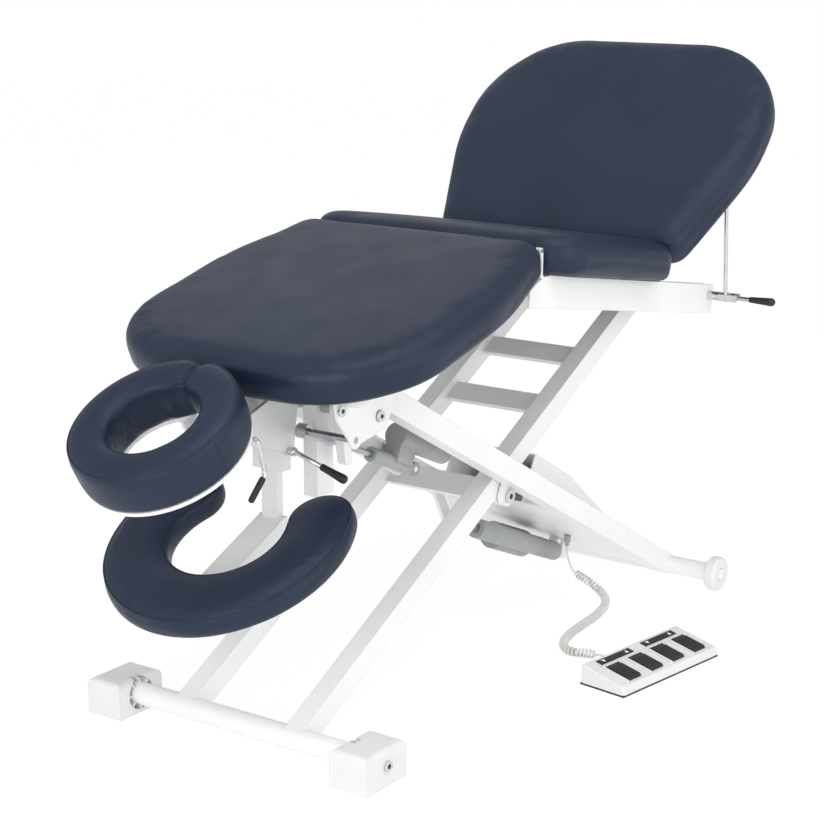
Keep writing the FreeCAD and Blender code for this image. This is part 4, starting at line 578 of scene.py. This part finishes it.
front_corners = [(-725, -384), (-250, -384), (-5, -315), (-5, 315), (-250, 384), (-725, 384)]
front_radii = (240, 600, 55, 55, 600, 240)
middle_corners = [(5, -360), (middle_length - 6.5, -360), (middle_length - 6.5, 360), (5, 360)]
middle_radii = (90, 60, 60, 90)
back_corners = [(6.5, -335), (300, -425), (655, -425), (655, 425), (300, 425), (6.5, 335)]
back_radii = (50, 500, 265, 265, 500, 50)
for pad, corners, radii, place, body in (
        ("front_cushion", front_corners, front_radii, (*pad_peak, front_slope), "front_deck"),
        ("middle_cushion", middle_corners, middle_radii, (*pad_peak, rear_slope), "rear_deck"),
        ("back_cushion", back_corners, back_radii, (*pad_back_hinge, back_slope), "back_section")):
    cover = cushion(pad, rounded_loop(corners, radii, pad_point_step), pad_half, pad_skirt, pad_crown)
    upholster(cover, voxel=0.009, pressure=3.0, cap=0.004, board_line=-0.036, frames=14)
    soft_waves(cover, pad_folds, stretch=(7.0, 7.0, 16.0), reach=0.0016)
    finer(cover)
    cover.matrix_world = laid(*place)
    finished(cover, navy_cover, body, "upholstery", pad.replace("cushion", "pad"))

# The face cradle: a tall horseshoe of foam in the same leatherette, on a white steel ring. Its top and its outer wall
# are sewn together with a piped edge, its wall has three seams, and its inner wall is creased.


def bent_cushion(name, profile, radius, half_span, steps=120):
    """A cushion of one section bent round an open ring, its two ends rounded."""
    verts = []
    count = len(profile)
    for i in range(steps + 1):
        turn = math.radians(180.0 - half_span + 2 * half_span * i / steps)
        for offset, height in profile:
            verts.append(Vector(((radius + offset) * math.cos(turn), (radius + offset) * math.sin(turn), height)) * mm)
    ends = [tuple(range(count)), tuple(steps * count + k for k in range(count))]
    pieces = [piece_from(name, verts, ends + ring_walls(steps + 1, count))]
    half_profile = [p for p in profile if p[0] >= 0]
    lowest, highest = half_profile[0][1], half_profile[-1][1]
    shares = [((height - lowest) / (highest - lowest), max(offset, 0.4)) for offset, height in half_profile]
    for sign in (-1, 1):
        turn = math.radians(180.0 + sign * half_span)
        middle = Vector((radius * math.cos(turn), radius * math.sin(turn), 0)) * mm
        low = middle + Vector((0, 0, lowest)) * mm
        high = middle + Vector((0, 0, highest)) * mm
        pieces.append(lathe("%s_end_%d" % (name, sign), low, high, shares, 40))
    return joined_piece(name, pieces)


def band_profile(half_width, thickness, crown, foot, shoulder):
    """The section of a bent cushion: a nearly upright wall, a tight shoulder and a domed top."""
    right = [(half_width - foot, -thickness), (half_width - foot * 0.35, -thickness + 7),
             (half_width, -thickness * 0.7), (half_width + 0.5, -thickness * 0.4), (half_width, -shoulder * 1.4),
             (half_width - shoulder * 0.25, -shoulder * 0.5), (half_width - shoulder, 0.0),
             (half_width * 0.55, crown * 0.6), (half_width * 0.25, crown * 0.93)]
    left = [(-x, z) for x, z in reversed(right)]
    return [(0.0, -thickness)] + right + [(0.0, crown)] + left


def swept_tube(name, path, radius, sides):
    """A round tube along points, with closed ends."""
    verts = []
    side = Vector((0.0, 0.0, 1.0))
    for i, place in enumerate(path):
        along = (path[min(i + 1, len(path) - 1)] - path[max(i - 1, 0)]).normalized()
        if abs(along.dot(side)) > 0.97:
            side = Vector((1.0, 0.0, 0.0))
        side = (side - along * side.dot(along)).normalized()
        other = along.cross(side)
        for k in range(sides):
            turn = 2 * math.pi * k / sides
            verts.append(place + (side * math.cos(turn) + other * math.sin(turn)) * radius)
    ends = [tuple(range(sides))[::-1], tuple(len(verts) - sides + k for k in range(sides))]
    return piece_from(name, verts, ends + ring_walls(len(path), sides))


def edge_line(piece, guide, lift):
    """Points on a skin nearest to a guide line, raised a little and evened out."""
    bpy.context.view_layer.update()
    tree = BVHTree.FromObject(piece, bpy.context.evaluated_depsgraph_get())
    line = []
    for place in guide:
        found, normal, _, _ = tree.find_nearest(place)
        line.append(found + normal * lift)
    last = len(line) - 1
    for _ in range(3):
        line = [line[max(i - 1, 0)].lerp(line[min(i + 1, last)], 0.5).lerp(p, 0.5) for i, p in enumerate(line)]
    return line


def ring_guide(radius, offset, half_span, height, steps=160):
    """A guide line along the rim of a bent cushion."""
    guide = []
    for i in range(steps + 1):
        turn = math.radians(180.0 - half_span + 2 * half_span * i / steps)
        guide.append(Vector(((radius + offset) * math.cos(turn), (radius + offset) * math.sin(turn), height)) * mm)
    return guide


def end_guide(radius, offset, half_span, height, sign, steps=36):
    """A guide line round one rounded end of a bent cushion."""
    turn = math.radians(180.0 + sign * half_span)
    middle = Vector((radius * math.cos(turn), radius * math.sin(turn), height)) * mm
    guide = []
    for i in range(steps + 1):
        swing = turn + sign * math.pi * i / steps
        guide.append(middle + Vector((math.cos(swing), math.sin(swing), 0)) * offset * mm)
    return guide


def piped(name, piece, guides, radius, matrix, body, lift=0.0):
    """Sewn piping or a seam along guide lines on a skin."""
    tubes = [swept_tube("%s_%d" % (name, i), edge_line(piece, guide, lift), radius, 8)
             for i, guide in enumerate(guides)]
    line = joined_piece(name, tubes)
    line.matrix_world = matrix
    finished(line, navy_cover, body, "upholstery")


cradle_radius = 133.0
cradle_half_span = 167.0
cradle_frame = laid(-238.0, 738.0, 29.7)
cradle_profile = band_profile(half_width=41.0, thickness=91.0, crown=6.0, foot=7.0, shoulder=12.0)
piping_height = -3.0
piping_radius = 0.0019
piping_lift = 0.0004
seam_radius = 0.0009
inner_wall_reach = 0.118
inner_wall_fade = 0.012
inner_wall_top_fade = 0.02


def inner_wall(co):
    """How much a point belongs to the cradle's creased inner wall."""
    reach = math.hypot(co.x, co.y)
    inside = max(0.0, min(1.0, (inner_wall_reach - reach) / inner_wall_fade))
    return inside * max(0.0, min(1.0, (0.0 - co.z) / inner_wall_top_fade))


dress(powder_white, "cradle_plate")
face_cover = bent_cushion("face_cushion", cradle_profile, cradle_radius, cradle_half_span)
upholster(face_cover, voxel=0.0045, pressure=4.0, cap=0.0025, board_line=-0.082, frames=12)
soft_waves(face_cover, inner_wall, stretch=(34.0, 34.0, 12.0), reach=0.004)
face_piping = 40.0
face_rim = [ring_guide(cradle_radius, face_piping, cradle_half_span, piping_height)]
face_rim += [end_guide(cradle_radius, face_piping, cradle_half_span, piping_height, sign) for sign in (-1, 1)]
piped("cradle_piping", face_cover, face_rim, piping_radius, cradle_frame, "cradle", piping_lift)
seam_turns = (205.0, 262.0, 98.0)
seam_reach = cradle_radius + 44.0
seam_top, seam_drop, seam_steps = 4.0, 82.0, 24
wall_seams = []
for seam_turn in seam_turns:
    away = Vector((math.cos(math.radians(seam_turn)), math.sin(math.radians(seam_turn)), 0.0))
    wall_seams.append([away * seam_reach * mm + Vector((0, 0, -(seam_top + seam_drop * i / seam_steps) * mm))
                       for i in range(seam_steps + 1)])
piped("cradle_wall_seams", face_cover, wall_seams, seam_radius, cradle_frame, "cradle")
finer(face_cover)
face_cover.matrix_world = cradle_frame
finished(face_cover, navy_cover, "cradle", "upholstery", "face_pad")

# The arm rest: a lower crescent of foam in the same leatherette, piped along both edges. It lies on a white steel tray
# on a square post, which slides in the sleeve of the head bracket.
rest_radius = 194.0
rest_half_span = 118.0
rest_frame = laid(-33.0, 464.0, 26.0)
rest_profile = band_profile(half_width=69.0, thickness=51.0, crown=8.0, foot=6.0, shoulder=10.0)
dress(powder_white, "armrest_post", "armrest_tray")
rest_cover = bent_cushion("arm_cushion", rest_profile, rest_radius, rest_half_span)
upholster(rest_cover, voxel=0.005, pressure=4.0, cap=0.0025, board_line=-0.042, frames=12)
rest_piping = 67.0
rest_rim = [ring_guide(rest_radius, side * rest_piping, rest_half_span, piping_height) for side in (1, -1)]
rest_rim += [end_guide(rest_radius, rest_piping, rest_half_span, piping_height, sign) for sign in (-1, 1)]
piped("arm_rest_piping", rest_cover, rest_rim, piping_radius, rest_frame, "armrest", piping_lift)
finer(rest_cover)
rest_cover.matrix_world = rest_frame
finished(rest_cover, navy_cover, "armrest", "upholstery", "armrest_pad")

# The hand levers: bright bars with black rubber grips. The long one clamps the arm rest's post, the hanging one
# locks the cradle, and the one beside the raised back frees its prop rod.
grip_rubber = surface("black_grip_rubber", dark=(0.010, 0.010, 0.011), light=(0.02, 0.02, 0.021), rough=(0.45, 0.6),
                      patch=50.0, grain=1200.0, fine=0.8, depth=0.00012)
rest_screw_start = (112.0, -22.0, 602.0)
rest_lever_start = (112.0, -47.5, 602.0)
rest_lever_elbow = (112.0, -63.5, 602.0)
rest_lever_end = (112.0, -155.5, 574.0)
boss_shape = [(0.0, 9.0), (0.1, 9.6), (0.8, 9.6), (0.95, 8.6), (1.0, 7.0)]
screw_shape = [(0.0, 5.0), (1.0, 5.0)]
bar_shape = [(0.0, 4.6), (0.03, 5.0), (1.0, 5.0)]
bar_in_boss = 0.004
grip_on_bar = 0.028
grip_past_bar = 0.0375
grip_shape = [(0.0, 6.0), (0.02, 7.0), (0.06, 7.6), (0.1, 7.2), (0.3, 7.6), (0.6, 8.6), (0.8, 9.5), (0.9, 9.4),
              (0.96, 7.8), (0.99, 5.0), (1.0, 1.0)]
elbow, lever_end = spot(*rest_lever_elbow), spot(*rest_lever_end)
lever_way = (lever_end - elbow).normalized()
clamp_lever = joined_piece("arm_rest_lever", [
    lathe("boss", spot(*rest_lever_start), elbow, boss_shape),
    lathe("screw", spot(*rest_screw_start), elbow, screw_shape),
    lathe("bar", elbow - lever_way * bar_in_boss, lever_end, bar_shape)])
finished(clamp_lever, bright_steel, "armrest_lever", "bright", "armrest_lever")
rest_grip = lathe("arm_rest_grip", lever_end - lever_way * grip_on_bar, lever_end + lever_way * grip_past_bar,
                  grip_shape)
finished(rest_grip, grip_rubber, "armrest_lever", "bright")

cradle_pivot = (-52.0, 668.0)
cradle_hub = -57.0
hub_shape = [(0.0, 10.0), (0.75, 10.0), (0.95, 9.0), (1.0, 7.0)]
hook_radius = 4.5 * mm
hook_bend = 0.010
hook_bend_steps = 6
sleeve_shape = [(0.0, 5.2), (0.04, 6.2), (0.12, 6.5), (0.85, 6.5), (0.96, 6.0), (1.0, 3.5)]


def beside_hub(out):
    """A place on the cradle lever's cross axis, that many millimetres out from its hub."""
    return spot(cradle_pivot[0], cradle_hub - out, cradle_pivot[1])


hook_elbow = beside_hub(46.0)
hook_knee = hook_elbow + Vector((21.0, 0, -72.0)) * mm
cross_way = Vector((0, -1.0, 0))
hook_way = (hook_knee - hook_elbow).normalized()
sleeve_way = Vector((-1.0, 0.0, -1.0)).normalized()
hook_path = [beside_hub(12.0), beside_hub(36.0)]
for corner, before, after in ((hook_elbow, cross_way, hook_way), (hook_knee, hook_way, sleeve_way)):
    for i in range(hook_bend_steps + 1):
        share = i / hook_bend_steps
        hook_path.append(corner - before * hook_bend * (1 - share) ** 2 + after * hook_bend * share ** 2)
hook_path.append(hook_knee + sleeve_way * 0.020)
hook = joined_piece("cradle_lock_lever", [
    lathe("hub", beside_hub(0.0), beside_hub(14.0), hub_shape),
    swept_tube("hook", hook_path, hook_radius, 16)])
finished(hook, bright_steel, "cradle_lever", "bright", "cradle_lever")
hook_sleeve = lathe("cradle_lock_sleeve", hook_knee + sleeve_way * 0.010, hook_knee + sleeve_way * 0.066, sleeve_shape)
finished(hook_sleeve, grip_rubber, "cradle_lever", "bright")
dress(bright_steel, "prop_lever")
dress(grip_rubber, "prop_grip")

# The foot control: a pale wedge-shaped case with a dark rubber base, four black ribbed pedals in raised frames,
# and two black direction plates with plain white arrows. The pedals hinge in the case on springs.
control_place = (846.0, -485.0)
control_yaw = -8.0
control_size = (350.0, 120.0)
control_heights = (24.0, 48.0)
control_slope = math.degrees(math.atan2(control_heights[1] - control_heights[0], control_size[1]))
pedal_wide, pedal_deep = 46.0, 64.0
pedal_margin = 14.0
pedal_pitch = 80.0
pedal_middles = [(i - 1.5) * pedal_pitch for i in range(4)]
control_frame = Matrix.Translation(spot(*control_place, 0.0)) @ Matrix.Rotation(math.radians(control_yaw), 4, "Z")
slope_frame = (control_frame @ Matrix.Translation(Vector((0, -control_size[1] / 2, control_heights[0])) * mm)
               @ Matrix.Rotation(math.radians(control_slope), 4, "X"))
dress(white_plastic, "foot_control_housing")


def moulded_block(name, low, high, bevel):
    """A moulded block with rounded edges, between two corners in millimetres."""
    verts = [Vector((x, y, z)) * mm for z in (low[2], high[2]) for y in (low[1], high[1]) for x in (low[0], high[0])]
    faces = [(0, 1, 3, 2), (4, 5, 7, 6), (0, 1, 5, 4), (2, 3, 7, 6), (0, 2, 6, 4), (1, 3, 7, 5)]
    block = piece_from(name, verts, faces)
    work = bmesh.new()
    work.from_mesh(block.data)
    bmesh.ops.bevel(work, geom=work.edges, offset=bevel * mm, segments=3, profile=0.6, affect="EDGES")
    work.to_mesh(block.data)
    work.free()
    for polygon in block.data.polygons:
        polygon.use_smooth = True
    return block


tread_half = 4.3
tread_top_inset = 1.5
tread_top_short = 10.0
rib_count = 7
rib_first, rib_pitch, rib_deep, rib_inset = 7.0, 6.6, 2.4, 6.0
for i, middle in enumerate(pedal_middles):
    left, right = middle - pedal_wide / 2, middle + pedal_wide / 2
    tread = [moulded_block("tread", (left, pedal_margin, -tread_half),
                           (right, pedal_margin + pedal_deep, tread_half), 1.2),
             moulded_block("tread_top", (left + tread_top_inset, pedal_margin + tread_top_inset, 2.0),
                           (right - tread_top_inset, pedal_margin + pedal_deep - tread_top_short, 7.4), 2.0)]
    for k in range(rib_count):
        y = pedal_margin + rib_first + k * rib_pitch
        tread.append(moulded_block("rib", (left + rib_inset, y, 6.0), (right - rib_inset, y + rib_deep, 8.4), 0.7))
    pedal = joined_piece("pedal_tread_%d" % (i + 1), tread)
    pedal.matrix_world = slope_frame
    finished(pedal, black_plastic, "pedal_%d" % (i + 1), "plastic_black", "pedal_%d" % (i + 1))

bezel_rim = 4.0
bezel_gap = 1.6
bezel_low, bezel_high = -1.0, 5.0
bezels = []
for middle in pedal_middles:
    left, right = middle - pedal_wide / 2 - bezel_gap, middle + pedal_wide / 2 + bezel_gap
    near, far = pedal_margin - bezel_gap - bezel_rim, pedal_margin + pedal_deep + bezel_gap
    for low, high in (((left - bezel_rim, near), (left, far + bezel_rim)),
                      ((right, near), (right + bezel_rim, far + bezel_rim)),
                      ((left, far), (right, far + bezel_rim))):
        bezels.append(moulded_block("bezel", (*low, bezel_low), (*high, bezel_high), 1.4))
bezel = joined_piece("pedal_frames", bezels)
bezel.matrix_world = slope_frame
finished(bezel, white_plastic, "foot_control", "plastic_white")

plate_half = 58.0
plate_near, plate_far = 92.0, 110.0
plate_low, plate_high = -0.5, 1.6
plates = [moulded_block("plate", (side * pedal_pitch - plate_half, plate_near, plate_low),
                        (side * pedal_pitch + plate_half, plate_far, plate_high), 0.6) for side in (-1, 1)]
plate = joined_piece("direction_plates", plates)
plate.matrix_world = slope_frame
finished(plate, black_plastic, "foot_control", "plastic_black")
white_ink = surface("white_ink", dark=(0.78, 0.78, 0.78), light=(0.85, 0.85, 0.85), rough=(0.5, 0.6), patch=60.0,
                    grain=900.0, fine=0.5, depth=0.00002)
arrow_half = 6.0
arrow_row = 101.0
arrow_tail, arrow_tip = 4.5, 5.0
arrow_low, arrow_high = 1.4, 2.0
arrow_faces = [(0, 1, 2), (3, 4, 5), (0, 1, 4, 3), (1, 2, 5, 4), (2, 0, 3, 5)]
arrows = []
for i, middle in enumerate(pedal_middles):
    way = 1 if i % 2 else -1
    outline = [(middle - arrow_half, arrow_row - arrow_tail * way), (middle + arrow_half, arrow_row - arrow_tail * way),
               (middle, arrow_row + arrow_tip * way)]
    verts = [Vector((x, y, z)) * mm for z in (arrow_low, arrow_high) for x, y in outline]
    arrows.append(piece_from("arrow", verts, arrow_faces, smooth=False))
arrow = joined_piece("direction_arrows", arrows)
arrow.matrix_world = slope_frame
finished(arrow, white_ink, "foot_control", "plastic_white")
strip_half = control_size[0] / 2 + 0.8, control_size[1] / 2 + 0.8
strip_low, strip_high = 0.2, 4.5
base_strip = joined_piece("control_base_strip", [
    moulded_block("base", (-strip_half[0], -strip_half[1], strip_low), (*strip_half, strip_high), 1.0)])
base_strip.matrix_world = control_frame
finished(base_strip, grip_rubber, "foot_control", "plastic_black")

# The cord of the foot control: a pale jacketed cable that leaves a gland under the motor tray, hangs to the
# floor, lies there as a springy coil and runs into the back of the control.
cord_route = [
    (1164, -70, 133), (1165, -71, 112), (1168, -74, 93), (1173, -78, 77), (1180, -84, 62), (1212, -116, 32),
    (1203, -160, 11.6), (1141, -199, 11.6), (1065, -218, 11.6), (975, -225, 11.6), (898, -234, 11.6),
    (838, -258, 11.6), (812, -294, 11.6), (827, -330, 11.6), (832, -354, 11.6), (834, -366, 12), (834, -384, 14),
    (829, -403, 17), (822.6, -420.3, 19),
]
coil_first, coil_last = 4, 14
coil_turns = 70
coil_radius = 8.4 * mm
cord_radius = 2.5 * mm
points_per_turn = 14
route_curve = bpy.data.curves.new("cord_route", "CURVE")
route_curve.dimensions = "3D"
route_curve.resolution_u = 40
route_spline = route_curve.splines.new("NURBS")
route_spline.points.add(len(cord_route) - 1)
for point, place in zip(route_spline.points, cord_route):
    point.co = (*spot(*place), 1.0)
route_spline.order_u = 3
route_spline.use_endpoint_u = True
route_object = bpy.data.objects.new("cord_route", route_curve)
scene.collection.objects.link(route_object)
bpy.context.view_layer.update()
route_mesh = bpy.data.meshes.new_from_object(route_object.evaluated_get(bpy.context.evaluated_depsgraph_get()))
route = [v.co.copy() for v in route_mesh.vertices]
bpy.data.objects.remove(route_object)


def nearest_index(points, place):
    """Which of the points is nearest to a place."""
    return min(range(len(points)), key=lambda i: (points[i] - place).length)


wind_from = nearest_index(route, spot(*cord_route[coil_first]))
wind_to = nearest_index(route, spot(*cord_route[coil_last]))
wound = route[wind_from:wind_to + 1]
travel = [0.0]
for a, b in zip(wound, wound[1:]):
    travel.append(travel[-1] + (b - a).length)


def along_coil(distance):
    """The place on the coil's middle line at a distance along it, and the line's direction there."""
    i = max(1, next((k for k, t in enumerate(travel) if t >= distance), len(travel) - 1))
    share = (distance - travel[i - 1]) / (travel[i] - travel[i - 1])
    return wound[i - 1].lerp(wound[i], share), (wound[i] - wound[i - 1]).normalized()


cord_path = [p.copy() for p in route[:wind_from]]
winding_side = Vector((0.0, 0.0, 1.0))
winding_count = coil_turns * points_per_turn
for i in range(winding_count + 1):
    middle, along = along_coil(travel[-1] * i / winding_count)
    winding_side = (winding_side - along * winding_side.dot(along)).normalized()
    turns_done = i / points_per_turn
    swell = min(1.0, turns_done, coil_turns - turns_done)
    swell = swell * swell * (3 - 2 * swell)
    turn = 2 * math.pi * turns_done
    offset = winding_side * math.cos(turn) + along.cross(winding_side) * math.sin(turn)
    cord_path.append(middle + offset * coil_radius * swell)
cord_path = cord_path + [p.copy() for p in route[wind_to + 1:]]
cord = swept_tube("control_cord", cord_path, cord_radius, 10)
cord_jacket = surface("pale_cord_jacket", dark=(0.62, 0.62, 0.6), light=(0.72, 0.72, 0.7), rough=(0.38, 0.5),
                      patch=40.0, grain=900.0, fine=0.5, depth=0.00006)
cord.data.materials.append(cord_jacket)
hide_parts("cord_lead", "curly_cord", "cord_tail")
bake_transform(cord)
